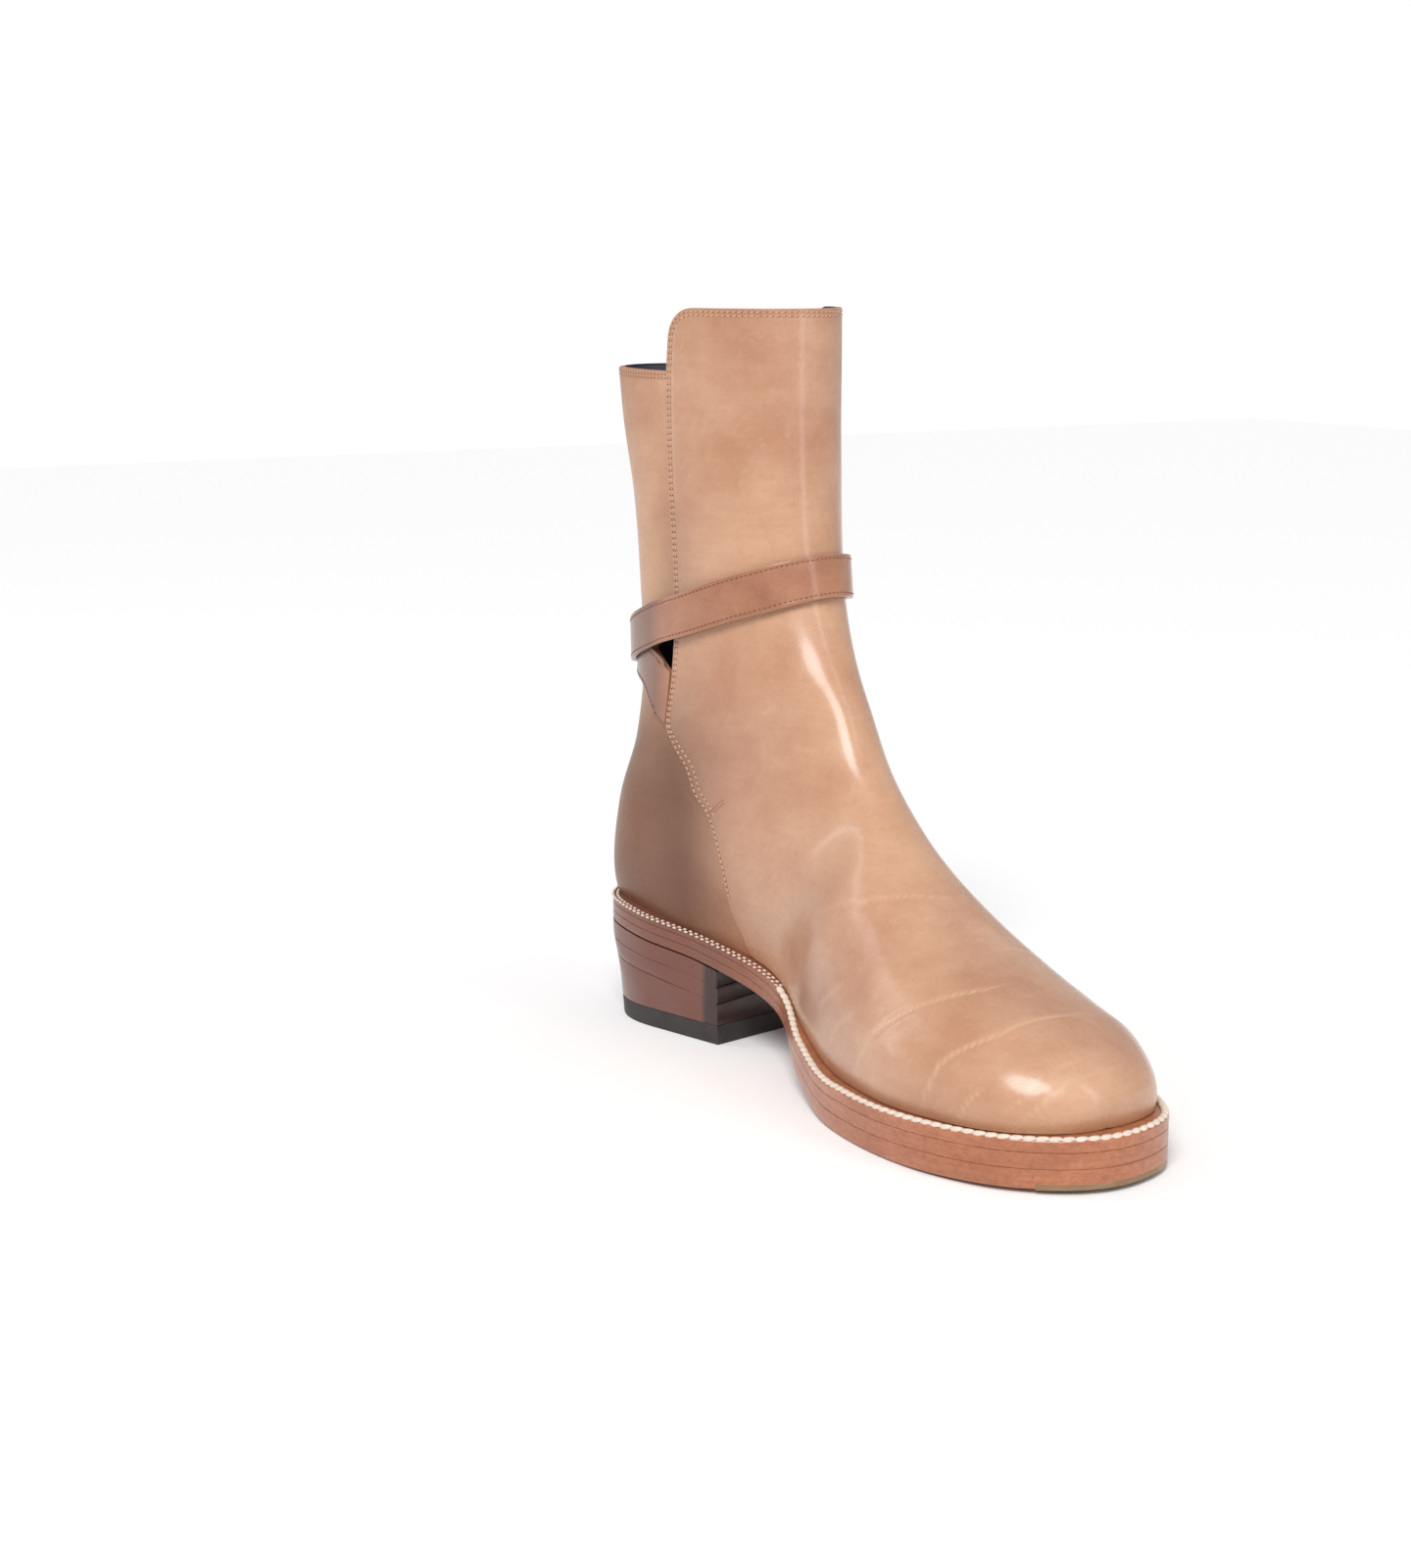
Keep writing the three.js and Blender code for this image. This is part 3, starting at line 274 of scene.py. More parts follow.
def form_point(place, angle):
    """Point of the last: place is a section's number. The angle is 90 degrees on the ridge, 180 on the
    inner side and 270 on the base, here in radians."""
    sec = section_at(np.clip(place, 0, TIP))
    c, s = np.cos(angle), np.sin(angle)
    power = 2 / np.where(s >= 0, UPPER_POWER, sec[..., 9])
    half = np.where(c >= 0, sec[..., 7], sec[..., 6])
    belly = sec[..., 8]
    rise = belly + np.where(s >= 0, 1 - belly, belly) * np.sign(s) * np.abs(s) ** power
    x, z = mix(sec[..., 2], sec[..., 0], rise), mix(sec[..., 3], sec[..., 1], rise)
    y = mix(sec[..., 5], sec[..., 4], rise) + half * np.sign(c) * np.abs(c) ** power
    return np.stack([x, y + waist_tuck(x, z) * np.clip(-c / 0.5, 0, 1), z], -1)


def form_normal(place, angle):
    """Outward direction of the last."""
    place = np.clip(place, 1.5, TIP - 1.5)
    sidewise = form_point(place, angle + 0.01) - form_point(place, angle - 0.01)
    along = form_point(place + 1, angle) - form_point(place - 1, angle)
    normal = np.cross(sidewise, along)
    return normal / np.maximum(np.linalg.norm(normal, axis=-1, keepdims=True), 1e-9)


def on_form(place, angle, off=0.0):
    """Point that stands off the last."""
    return form_point(place, angle) + form_normal(place, angle) * np.asarray(off)[..., None]


def find_place(angle, misses, high=float(TIP)):
    """Section number at which misses(point), positive above the wanted line, comes to nought."""
    low, high = np.zeros(np.shape(angle)), np.full(np.shape(angle), high)
    for _ in range(32):
        middle = (low + high) / 2
        above = misses(form_point(middle, angle)) > 0
        low, high = np.where(above, middle, low), np.where(above, high, middle)
    return (low + high) / 2


def side_spot(x, z):
    """Section number and angle (inner side) of a point of the side view."""
    x, z = np.broadcast_arrays(np.asarray(x, float), np.asarray(z, float))
    low, high = np.zeros(x.shape), np.full(x.shape, float(TIP - 2))
    for _ in range(32):
        middle = (low + high) / 2
        sec = section_at(middle)
        run = sec[..., :2] - sec[..., 2:4]
        before = run[..., 0] * (z - sec[..., 3]) - run[..., 1] * (x - sec[..., 2]) < 0
        low, high = np.where(before, middle, low), np.where(before, high, middle)
    place = (low + high) / 2
    sec = section_at(place)
    run, belly = sec[..., :2] - sec[..., 2:4], sec[..., 8]
    rise = ((x - sec[..., 2]) * run[..., 0] + (z - sec[..., 3]) * run[..., 1]) / (run**2).sum(-1)
    part = rise - belly
    share = np.clip(np.where(part >= 0, part / (1 - belly), -part / belly), 0, 1)
    s = np.sign(part) * share ** (np.where(part >= 0, UPPER_POWER, sec[..., 9]) / 2)
    return place, math.pi - np.arcsin(np.clip(s, -1, 1))


# ---- Finishes ----

class Finish:
    """A material and short ways to add its nodes."""
    def __init__(self, name, colour, roughness=0.5, metallic=0.0, coat=0.0, coat_roughness=0.2,
                 specular=0.5):
        self.material = bpy.data.materials.new(name)
        self.material.use_nodes = True
        self.tree = self.material.node_tree
        self.shader = self.tree.nodes["Principled BSDF"]
        self.shader.inputs["Base Color"].default_value = (*colour, 1)
        self.shader.inputs["Roughness"].default_value = roughness
        self.shader.inputs["Metallic"].default_value = metallic
        self.shader.inputs["Coat Weight"].default_value = coat
        self.shader.inputs["Coat Roughness"].default_value = coat_roughness
        self.shader.inputs["Specular IOR Level"].default_value = specular
        self.place = self.tree.nodes.new("ShaderNodeTexCoord").outputs["Object"]
        self.bumps = None

    def link(self, source, target):
        self.tree.links.new(source, target)

    def mapping(self, scale=(1, 1, 1), rotation=(0, 0, 0)):
        """The place, turned and then stretched."""
        place = self.place
        for name, value in (("Rotation", rotation), ("Scale", scale)):
            node = self.tree.nodes.new("ShaderNodeMapping")
            node.inputs[name].default_value = value
            self.link(place, node.inputs["Vector"])
            place = node.outputs["Vector"]
        return place

    def noise(self, scale, detail=3, stretch=(1, 1, 1), rotation=(0, 0, 0), roughness=0.5):
        node = self.tree.nodes.new("ShaderNodeTexNoise")
        node.inputs["Scale"].default_value = scale
        node.inputs["Detail"].default_value = detail
        node.inputs["Roughness"].default_value = roughness
        self.link(self.mapping(stretch, rotation), node.inputs["Vector"])
        return node.outputs["Fac"]

    def cells(self, scale):
        """Distance to the edges of small cells."""
        node = self.tree.nodes.new("ShaderNodeTexVoronoi")
        node.feature = "DISTANCE_TO_EDGE"
        node.inputs["Scale"].default_value = scale
        self.link(self.mapping(), node.inputs["Vector"])
        return node.outputs["Distance"]

    def along(self):
        """Place along the boot in metres."""
        node = self.tree.nodes.new("ShaderNodeSeparateXYZ")
        self.link(self.place, node.inputs[0])
        return node.outputs["X"]

    def attribute(self, name):
        node = self.tree.nodes.new("ShaderNodeAttribute")
        node.attribute_name = name
        return node.outputs["Fac"]

    def ramp(self, source, low, high, to_low=0.0, to_high=1.0):
        """The source taken from one range to another, held at its ends."""
        node = self.tree.nodes.new("ShaderNodeMapRange")
        node.inputs["From Min"].default_value, node.inputs["From Max"].default_value = low, high
        node.inputs["To Min"].default_value, node.inputs["To Max"].default_value = to_low, to_high
        self.link(source, node.inputs["Value"])
        return node.outputs["Result"]

    def math(self, operation, a, b):
        node = self.tree.nodes.new("ShaderNodeMath")
        node.operation = operation
        for socket, value in zip(node.inputs, (a, b)):
            if isinstance(value, (int, float)):
                socket.default_value = value
            else:
                self.link(value, socket)
        return node.outputs[0]

    def blend(self, share, low, high):
        node = self.tree.nodes.new("ShaderNodeMix")
        node.data_type = "RGBA"
        sockets = [s for s in node.inputs if s.type == "RGBA"]
        for socket, value in zip(sockets, (low, high)):
            if isinstance(value, tuple):
                socket.default_value = (*value, 1)
            else:
                self.link(value, socket)
        self.link(share, node.inputs["Factor"])
        return [s for s in node.outputs if s.type == "RGBA"][0]

    def colour(self, source):
        self.link(source, self.shader.inputs["Base Color"])

    def rough(self, source):
        self.link(source, self.shader.inputs["Roughness"])

    def bump(self, source, distance, strength):
        """Relief on top of the bumps so far, its distance in metres."""
        node = self.tree.nodes.new("ShaderNodeBump")
        node.inputs["Distance"].default_value = distance
        node.inputs["Strength"].default_value = strength
        self.link(source, node.inputs["Height"])
        if self.bumps is not None:
            self.link(self.bumps, node.inputs["Normal"])
        self.bumps = node.outputs["Normal"]
        self.link(self.bumps, self.shader.inputs["Normal"])


def srgb(*colour):
    """Linear values of a colour given in steps of 0 to 255."""
    return tuple(((c / 255 + 0.055) / 1.055) ** 2.4 for c in colour)


def tanned_leather(name, pale, middle, dark, shadow, mottle=26.0, scratch=True, coat=0.7, specular=0.4):
    """Smooth veg-tanned leather: cloudy dye, fine level streaks, pores and pale wrinkles. It turns to
    the shadow colour, a painted shade, by the shade attribute."""
    pale, middle, dark, shadow = (srgb(*tone) for tone in (pale, middle, dark, shadow))
    leather = Finish(name, middle, roughness=0.42, coat=coat, coat_roughness=0.2, specular=specular)
    cloud = leather.ramp(leather.noise(mottle, 5, (1, 1, 1.2), roughness=0.6), 0.32, 0.68)
    wide = leather.ramp(leather.noise(mottle * 0.4, 2, (1, 1, 0.8)), 0.35, 0.65)
    streak = leather.ramp(leather.noise(70, 6, (0.5, 0.5, 6), roughness=0.7), 0.4, 0.75)
    speck = leather.ramp(leather.noise(420, 3, roughness=0.7), 0.56, 0.74)
    tone = leather.blend(wide, middle, dark)
    tone = leather.blend(leather.math("MULTIPLY", cloud, 0.75), tone, pale)
    tone = leather.blend(leather.math("MULTIPLY", streak, 0.22), tone, dark)
    tone = leather.blend(leather.math("MULTIPLY", speck, 0.32), tone, dark)
    tone = leather.blend(leather.math("MULTIPLY", leather.attribute("edge"), 0.35), tone, dark)
    scuff = leather.noise(300, 4, (0.14, 1, 1.6), (0.2, 0.9, 0.4), roughness=0.75)
    scuff = leather.ramp(scuff, 0.56, 0.72)
    tone = leather.blend(leather.math("MULTIPLY", scuff, 0.3), tone, pale)
    tone = leather.blend(leather.math("MULTIPLY", leather.attribute("crease"), 0.9), tone, pale)
    # Painted shade: the shade attribute blends the tone towards the shadow colour
    painted_shade = leather.math("MULTIPLY", leather.attribute("shade"), leather.ramp(wide, 0, 1, 0.66, 0.96))
    tone = leather.blend(painted_shade, tone, shadow)
    leather.colour(tone)
    leather.rough(leather.ramp(leather.noise(60, 4), 0.3, 0.7, 0.34, 0.5))
    pores = leather.ramp(leather.cells(1900), 0.0, 0.12)
    leather.bump(pores, 0.00004, 0.5)
    leather.bump(leather.noise(900, 4, roughness=0.65), 0.0001, 0.5)
    if scratch:
        hatch = leather.noise(380, 4, (0.14, 1, 1.6), (0.2, 0.9, 0.4), roughness=0.75)
        leather.bump(leather.ramp(hatch, 0.45, 0.75), 0.00014, 0.5)
        cross = leather.noise(330, 4, (1, 1.4, 0.12), (0.5, 0.3, 0.2), roughness=0.75)
        leather.bump(leather.ramp(cross, 0.48, 0.75), 0.00011, 0.45)
    leather.bump(leather.noise(45, 3), 0.0004, 0.25)
    return leather.material


def burnished_leather(name, pale, dark, rear, slope=0.0):
    """Sole leather seen on its cut edge: long fine fibres that follow the slope, waxed. Painted shade
    darkens it to the rear of the sole and on the breast of the heel."""
    pale, dark, rear = srgb(*pale), srgb(*dark), srgb(*rear)
    leather = Finish(name, pale, roughness=0.35, coat=0.35, coat_roughness=0.2)
    turn = (0, -slope, 0)
    fibre = leather.ramp(leather.noise(80, 6, (1, 1, 9), turn, roughness=0.7), 0.3, 0.7)
    speck = leather.ramp(leather.noise(520, 4, (0.7, 0.7, 1.2), turn, roughness=0.7), 0.42, 0.66)
    cloud = leather.ramp(leather.noise(38, 4, (1, 1, 2)), 0.35, 0.68)
    tone = leather.blend(leather.math("MULTIPLY", fibre, 0.5), pale, dark)
    tone = leather.blend(leather.math("MULTIPLY", speck, 0.55), tone, dark)
    tone = leather.blend(leather.math("MULTIPLY", cloud, 0.45), tone, dark)
    # Painted shade towards the rear of the sole and the heel, in the rear colour
    tone = leather.blend(leather.ramp(leather.along(), 0.04, 0.11, 0.85, 0.0), tone, rear)
    # Painted shade on the heel's breast, from the shade attribute
    breast = leather.math("MULTIPLY", leather.attribute("shade"), 0.9)
    tone = leather.blend(breast, tone, srgb(34, 16, 13))
    leather.colour(tone)
    leather.rough(leather.ramp(leather.noise(90, 4), 0.3, 0.7, 0.28, 0.42))
    leather.bump(leather.noise(70, 6, (1, 1, 10), turn, roughness=0.7), 0.00016, 0.35)
    leather.bump(leather.noise(600, 3), 0.0001, 0.5)
    return leather.material


def plain_finish(name, base, low, high, cloud, grain=None, shine=None, **looks):
    """Clouds between two tones, with a fine relief and, on metal, a shine that varies. Each pattern
    starts with the scale and detail of its noise."""
    finish = Finish(name, srgb(*base), **looks)
    finish.colour(finish.blend(finish.noise(*cloud), srgb(*low), srgb(*high)))
    if shine:
        *pattern, least, most = shine
        finish.rough(finish.ramp(finish.noise(*pattern), 0.3, 0.7, least, most))
    if grain:
        *pattern, depth, strength = grain
        finish.bump(finish.noise(*pattern), depth, strength)
    return finish.material


# The last colour of each tanned leather is its painted shade, blended in by the shade attribute
UPPER_TONES = (208, 165, 134), (194, 147, 113), (172, 118, 89)
upper_leather = tanned_leather("upper_leather", *UPPER_TONES, (96, 44, 27))
quarter_leather = tanned_leather("quarter_leather", *UPPER_TONES, (74, 30, 16), coat=0.3, specular=0.2)
strap_leather = tanned_leather("strap_leather", (180, 128, 96), (172, 112, 80), (140, 84, 60),
                               (112, 80, 70), 40.0, False)
# The third colour of each sole leather is the painted shade of the rear of the sole and heel
sole_leather = burnished_leather("sole_leather", (190, 122, 84), (138, 76, 50), (104, 58, 44))
heel_leather = burnished_leather("heel_leather", (122, 72, 54), (84, 44, 34), (108, 60, 46), slope=0.118)
lining_leather = plain_finish("lining_leather", (44, 42, 52), (48, 47, 60), (76, 72, 82), (90, 4),
                              (1200, 3, 0.00006, 0.5), roughness=0.62)
cut_leather = plain_finish("cut_leather", (176, 122, 88), (156, 104, 74), (190, 138, 104), (500, 4),
                           (1500, 3, 0.00008, 0.6), roughness=0.7)
insole_leather = plain_finish("insole_finish", (186, 142, 104), (172, 126, 90), (196, 152, 114), (60, 5),
                              (800, 3, 0.00005, 0.4), roughness=0.6, coat=0.1)
lift_rubber = plain_finish("lift_rubber", (44, 38, 38), (34, 28, 28), (62, 55, 54), (120, 4),
                           (500, 4, 0.0001, 0.5), roughness=0.62)
brass = plain_finish("buckle_brass", (206, 160, 112), (196, 146, 98), (222, 178, 128), (160, 4),
                     (700, 3, 0.00003, 0.3), (300, 4, 0.2, 0.4), roughness=0.26, metallic=1.0)
plate_brass = plain_finish("toe_plate_brass", (160, 132, 104), (140, 112, 84), (174, 148, 120),
                           (90, 5, (0.3, 1, 1)), (500, 4, (0.15, 1, 1), 0.00004, 0.4),
                           (200, 5, (0.2, 1, 1), 0.26, 0.48), roughness=0.4, metallic=1.0)
tan_thread = plain_finish("tan_thread", (206, 164, 134), (184, 140, 110), (216, 178, 150), (900, 2),
                          (5000, 2, 0.00005, 0.6), roughness=0.7)
brown_thread = plain_finish("brown_thread", (150, 94, 66), (134, 80, 56), (164, 108, 78), (900, 2),
                            (5000, 2, 0.00005, 0.6), roughness=0.7)
cream_thread = plain_finish("cream_thread", (228, 214, 196), (200, 180, 162), (236, 224, 212), (700, 3),
                            (4000, 2, 0.00008, 0.7), roughness=0.75)
# Painted shade of holes: dark marks for needle holes and for the bottoms of punched holes
hole_shade = plain_finish("hole_shade", (84, 50, 34), (70, 40, 28), (104, 64, 44), (600, 2),
                           roughness=0.85)


# ---- Meshes ----

def to_row(points):
    """Millimetres from the back of the welt to metres in the row frame."""
    return (np.asarray(points, float) - (HEEL_X, 0, 0)) * 0.001


def add_object(name, data):
    piece = bpy.data.objects.new(name, data)
    bpy.context.scene.collection.objects.link(piece)
    return piece


def grid_faces(rows, columns, closed=False, start=0):
    """Four-sided faces between rows of points; closed joins each row's end to its start."""
    i, j = np.meshgrid(np.arange(rows - 1), np.arange(columns if closed else columns - 1), indexing="ij")
    a, b = i * columns + j, i * columns + (j + 1) % columns
    return (np.stack([a, b, b + columns, a + columns], -1).reshape(-1, 4) + start).tolist()


def end_faces(rows, columns):
    """The two faces that close a tube of closed rows."""
    last = (rows - 1) * columns
    return [list(range(columns))[::-1], [last + k for k in range(columns)]]


def joining_faces(rows, columns):
    """Faces that join a tube's last closed row to its first."""
    last = (rows - 1) * columns
    return [[last + k, last + (k + 1) % columns, (k + 1) % columns, k] for k in range(columns)]


def make_piece(name, points, faces, materials, shade=35, values=None, turn_out=True, numbers=None):
    """A mesh object in the row frame; doubled points are merged and faces turned outwards. Values are
    attributes of the points, numbers the faces' places in the list of materials."""
    mesh = bpy.data.meshes.new(name)
    mesh.from_pydata(to_row(points).tolist(), [], faces)
    if numbers is not None:
        mesh.polygons.foreach_set("material_index", numbers)
    for key, value in (values or {}).items():
        layer = mesh.attributes.new(key, "FLOAT", "POINT")
        layer.data.foreach_set("value", np.ravel(value).astype(np.float32))
    piece = add_object(name, mesh)
    for material in materials:
        mesh.materials.append(material)
    bm = bmesh.new()
    bm.from_mesh(mesh)
    bmesh.ops.remove_doubles(bm, verts=bm.verts, dist=2e-6)
    bmesh.ops.dissolve_degenerate(bm, edges=bm.edges, dist=1e-6)
    if turn_out:
        bmesh.ops.recalc_face_normals(bm, faces=bm.faces)
    bm.to_mesh(mesh)
    bm.free()
    mesh.polygons.foreach_set("use_smooth", [True] * len(mesh.polygons))
    mesh.set_sharp_from_angle(angle=math.radians(shade))
    return piece


def settle(piece):
    """Makes the result of a piece's modifiers its plain mesh."""
    depsgraph = bpy.context.evaluated_depsgraph_get()
    mesh = bpy.data.meshes.new_from_object(piece.evaluated_get(depsgraph), depsgraph=depsgraph,
                                           preserve_all_data_layers=True)
    piece.modifiers.clear()
    piece.data = mesh


def finish_piece(piece, slot, *nodes):
    """Puts a piece on the boot and hides the nodes that it stands in for. The slot is not used."""
    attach(piece, "root")
    if nodes:
        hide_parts(*nodes)


def outward(points, faces, wanted):
    """The faces of an open sheet, turned so that they face the wanted way."""
    corners = points[np.array(faces)]
    normal = np.cross(corners[:, 2] - corners[:, 0], corners[:, 3] - corners[:, 1])
    facing = (normal * wanted[np.array(faces)[:, 0]]).sum()
    return faces if facing > 0 else [face[::-1] for face in faces]


# ---- Panels of the upper ----

EDGE_X = PANEL_EDGE[0][1] * SOLE_LENGTH
BACK_TOP = BOOT_HEIGHT - BACK_DROP
PANEL_CORNER = COLLAR_CORNER - 3
SEAM_ROWS = (1.3, 2.7)      # distances of the double seams from an edge
RIDGE_ANGLE, BASE_ANGLE = math.pi / 2, 1.5 * math.pi


def sampled(points, run, steps):
    """Points of a line at distances from its start."""
    return np.stack([np.interp(steps, run, points[:, k]) for k in range(points.shape[1])], 1)


def even_line(points, count, soft=True):
    """count points at equal steps along a smooth or a plain line through the given ones."""
    points = np.asarray(points, float)
    if soft:
        run = run_along(points)
        points = curve_through(run, points)(np.linspace(0, run[-1], 1600))
    run = run_along(points)
    return sampled(points, run, np.linspace(0, run[-1], count))


def edge_x(z):
    """X of the front panel's rear edge at a height."""
    return np.interp(-z, [-up * BOOT_HEIGHT for up, _ in PANEL_EDGE],
                     [along * SOLE_LENGTH for _, along in PANEL_EDGE])


def panel_edge(forward=0.0):
    """Rear edge of the front panel in the side view, from the collar to the welt."""
    turn = np.radians(np.linspace(90, 180, 8))
    arc = np.stack([EDGE_X + PANEL_CORNER + (PANEL_CORNER - forward) * np.cos(turn),
                    BOOT_HEIGHT - PANEL_CORNER + (PANEL_CORNER - forward) * np.sin(turn)], 1)
    rows = np.array([(along * SOLE_LENGTH + forward, up * BOOT_HEIGHT) for up, along in PANEL_EDGE[1:]])
    line = even_line(np.vstack([arc, rows]), 700)
    return line[line[:, 1] > feather_height(line[:, 0])]


def feather_height(x):
    """Height at which the upper ends above the welt."""
    return welt_top(np.clip(x, 0, SOLE_LENGTH)) + LAYER_GAP


def feather_angle(place):
    """Angle on the inner side at which a section meets the welt, 270 where it stays above it."""
    low, high = np.full(place.shape, math.pi), np.full(place.shape, BASE_ANGLE)
    for _ in range(30):
        middle = (low + high) / 2
        point = form_point(place, middle)
        above = point[..., 2] > feather_height(point[..., 0])
        low, high = np.where(above, middle, low), np.where(above, high, middle)
    return (low + high) / 2


def row_places(angle, front, rear, high=float(TIP)):
    """Section numbers of a row that is a straight line of the side view, from front to rear."""
    (x0, z0), (x1, z1) = front, rear

    def misses(point):
        return point[..., 2] - z0 - (z1 - z0) * (point[..., 0] - x0) / (x1 - x0)
    return find_place(angle, misses, high=high)


EDGE_STEPS = (0.0, 0.12, 0.3, 0.6, 1.0, 1.4, 1.8, 2.3, 2.8, 3.3)


def spread(count, length):
    """Shares from 0 to 1 of a length that lie close together at its end, for the rounded edge and
    the seams."""
    near = [1 - d / length for d in reversed(EDGE_STEPS)]
    return np.concatenate([np.linspace(0, near[0], count - len(near) + 1)[:-1], near])


def mirrored_grid(places, angles, whole_turn):
    """Rows of spots on the inner side, carried on to the outer side."""
    places, angles = np.array(places), np.array(angles)
    return (np.concatenate([places[:, ::-1], places[:, 1:]], 1),
            np.concatenate([angles[:, ::-1], whole_turn - angles[:, 1:]], 1))


def spot_at(angle, misses):
    """Point of the last on a line at one angle, where misses(point) comes to nought, and its section."""
    angle = np.array([angle])
    place = find_place(angle, misses)
    return form_point(place, angle)[0], place[0]


# Grids of the panels: lines along them, and points across from the ridge or the back to an edge
FRONT_LINES, FRONT_HALF, FORE_LINES = 175, 62, 126
BACK_LINES, BACK_HALF, BACK_FLAT = 160, 70, 40


def front_panel_spots():
    """Section numbers and angles of the front panel's grid, from edge to edge over the ridge. The
    rows run down the shaft along the edge, and then forward to the toe, close together at its tip."""
    edge = even_line(panel_edge(), FRONT_LINES)
    bottom = side_spot(*edge[-1])[0]
    top = spot_at(RIDGE_ANGLE, lambda p: p[..., 2] - BOOT_HEIGHT)[1]
    lines = np.concatenate([np.linspace(0, 1, 9)[:-1] ** 1.5 * 3, np.linspace(3, FRONT_LINES, 150)])
    lines /= FRONT_LINES
    places, angles = [], []
    for share in lines:
        x, z = (np.interp(share * (FRONT_LINES - 1), np.arange(FRONT_LINES), edge[:, k]) for k in (0, 1))
        ridge = form_point(np.array([mix(top, bottom, share)]), np.array([RIDGE_ANGLE]))[0]
        angle = mix(RIDGE_ANGLE, side_spot(x, z)[1].item(), spread(FRONT_HALF, 70))
        places.append(row_places(angle, (ridge[0], ridge[2]), (x, z)))
        angles.append(angle)
    along = np.linspace(bottom, TIP, 900)
    run = run_along(form_point(along, np.full(900, RIDGE_ANGLE)))
    tip = run[-1] - np.concatenate([np.arange(6, 0.9, -0.4), [0.6, 0.4, 0.25, 0.12, 0.04, 0]])
    for step in np.concatenate([np.linspace(0, run[-1] - 6.5, FORE_LINES)[1:], tip]):
        place = np.interp(step, run, along)
        end = feather_angle(np.array([place])).item()
        angles.append(mix(RIDGE_ANGLE, end, spread(FRONT_HALF, 90)))
        places.append(np.full(FRONT_HALF, place))
    return *mirrored_grid(places, angles, math.pi), len(lines)


def back_panel_spots():
    """The same for the back panel, from under one side of the front panel round the heel. The rows
    are straight lines of the side view."""
    edge = panel_edge(forward=7.0)
    edge = even_line(edge[edge[:, 1] < BACK_TOP], BACK_LINES)
    edge[:, 1] += (BACK_TOP - edge[0, 1]) * np.linspace(1, 0, BACK_LINES)
    edge[-1, 1] -= 2.0
    lines = np.concatenate([[0, 0.15, 0.4, 0.8, 1.3, 2.0, 2.8], np.linspace(4, BACK_LINES, 125)])
    lines /= BACK_LINES
    low_point = spot_at(BASE_ANGLE, lambda p: p[..., 2] - feather_height(p[..., 0]))[0]
    share_x = np.linspace(0.3, 1, BACK_FLAT)
    places, angles = [], []
    for share in lines:
        x, z = (np.interp(share * (BACK_LINES - 1), np.arange(BACK_LINES), edge[:, k]) for k in (0, 1))
        back_z = mix(BACK_TOP, low_point[2], share)
        back = spot_at(BASE_ANGLE, lambda p: p[..., 2] - back_z)[0]
        place, flat = side_spot(mix(back[0], x, share_x), mix(back[2], z, share_x))
        angle = mix(BASE_ANGLE, flat[0], np.linspace(0, 1, BACK_HALF - BACK_FLAT + 1))[:-1]
        round_heel = row_places(angle, (back[0], back[2]), (x, z), place[0] + 0.5)
        places.append(np.concatenate([round_heel, place]))
        angles.append(np.concatenate([angle, flat]))
    return mirrored_grid(places, angles, 3 * math.pi)


def run_from_start(points, axis):
    """Distance along a grid's rows or columns from its first line."""
    step = np.linalg.norm(np.diff(points, axis=axis), axis=-1)
    return np.concatenate([np.zeros_like(np.take(step, [0], axis)), np.cumsum(step, axis)], axis)


# Growth wrinkles and folds: places along the sole and angle, from end to end, then width, depth
# and height of the lips beside it
CREASES = [
    ([(140, 160), (166, 141), (184, 120), (195, 92), (197, 70)], 1.6, 0.22, 0.10),
    ([(169, 176), (180, 164), (194, 150)], 1.5, 0.20, 0.08),
    ([(202, 191), (209, 177), (216, 162), (224, 147), (230, 134), (235, 122), (240, 105), (241, 84)],
     1.9, 0.32, 0.16),
    ([(180, 185), (190, 172), (203, 158)], 1.4, 0.18, 0.08),
    ([(243, 192), (248, 173), (251, 155), (256, 139), (260, 124), (261, 100), (261, 80), (259, 60)],
     1.8, 0.30, 0.14),
    ([(259, 191), (265, 169), (268, 158)], 1.3, 0.18, 0.06),
    ([(277, 190), (282, 166), (284, 138), (285, 100), (284, 62)], 1.5, 0.20, 0.08),
    ([(272, 182), (277, 166), (279, 140), (280, 104), (279, 74)], 1.2, 0.14, 0.06),
    ([(222, 84), (217, 60), (209, 38), (203, 12)], 1.8, 0.24, 0.10),
    ([(172, 62), (180, 36), (186, 14)], 1.6, 0.18, 0.08),
    ([(240, 58), (235, 34), (229, 8)], 1.6, 0.20, 0.10),
]


WRINKLE_REACH, WRINKLE_SPOTS = 60, 60   # millimetres per radian, and points along each wrinkle
FOOT_START = 300.0                      # number of a section behind the foot's wrinkles


def spot_along(x, angle):
    """Section numbers at which the last is x along, at an angle over the foot."""
    low, high = np.full(np.shape(x), FOOT_START), np.full(np.shape(x), float(TIP - 1))
    for _ in range(30):
        middle = (low + high) / 2
        behind = form_point(middle, angle)[..., 0] < x
        low, high = np.where(behind, middle, low), np.where(behind, high, middle)
    return (low + high) / 2


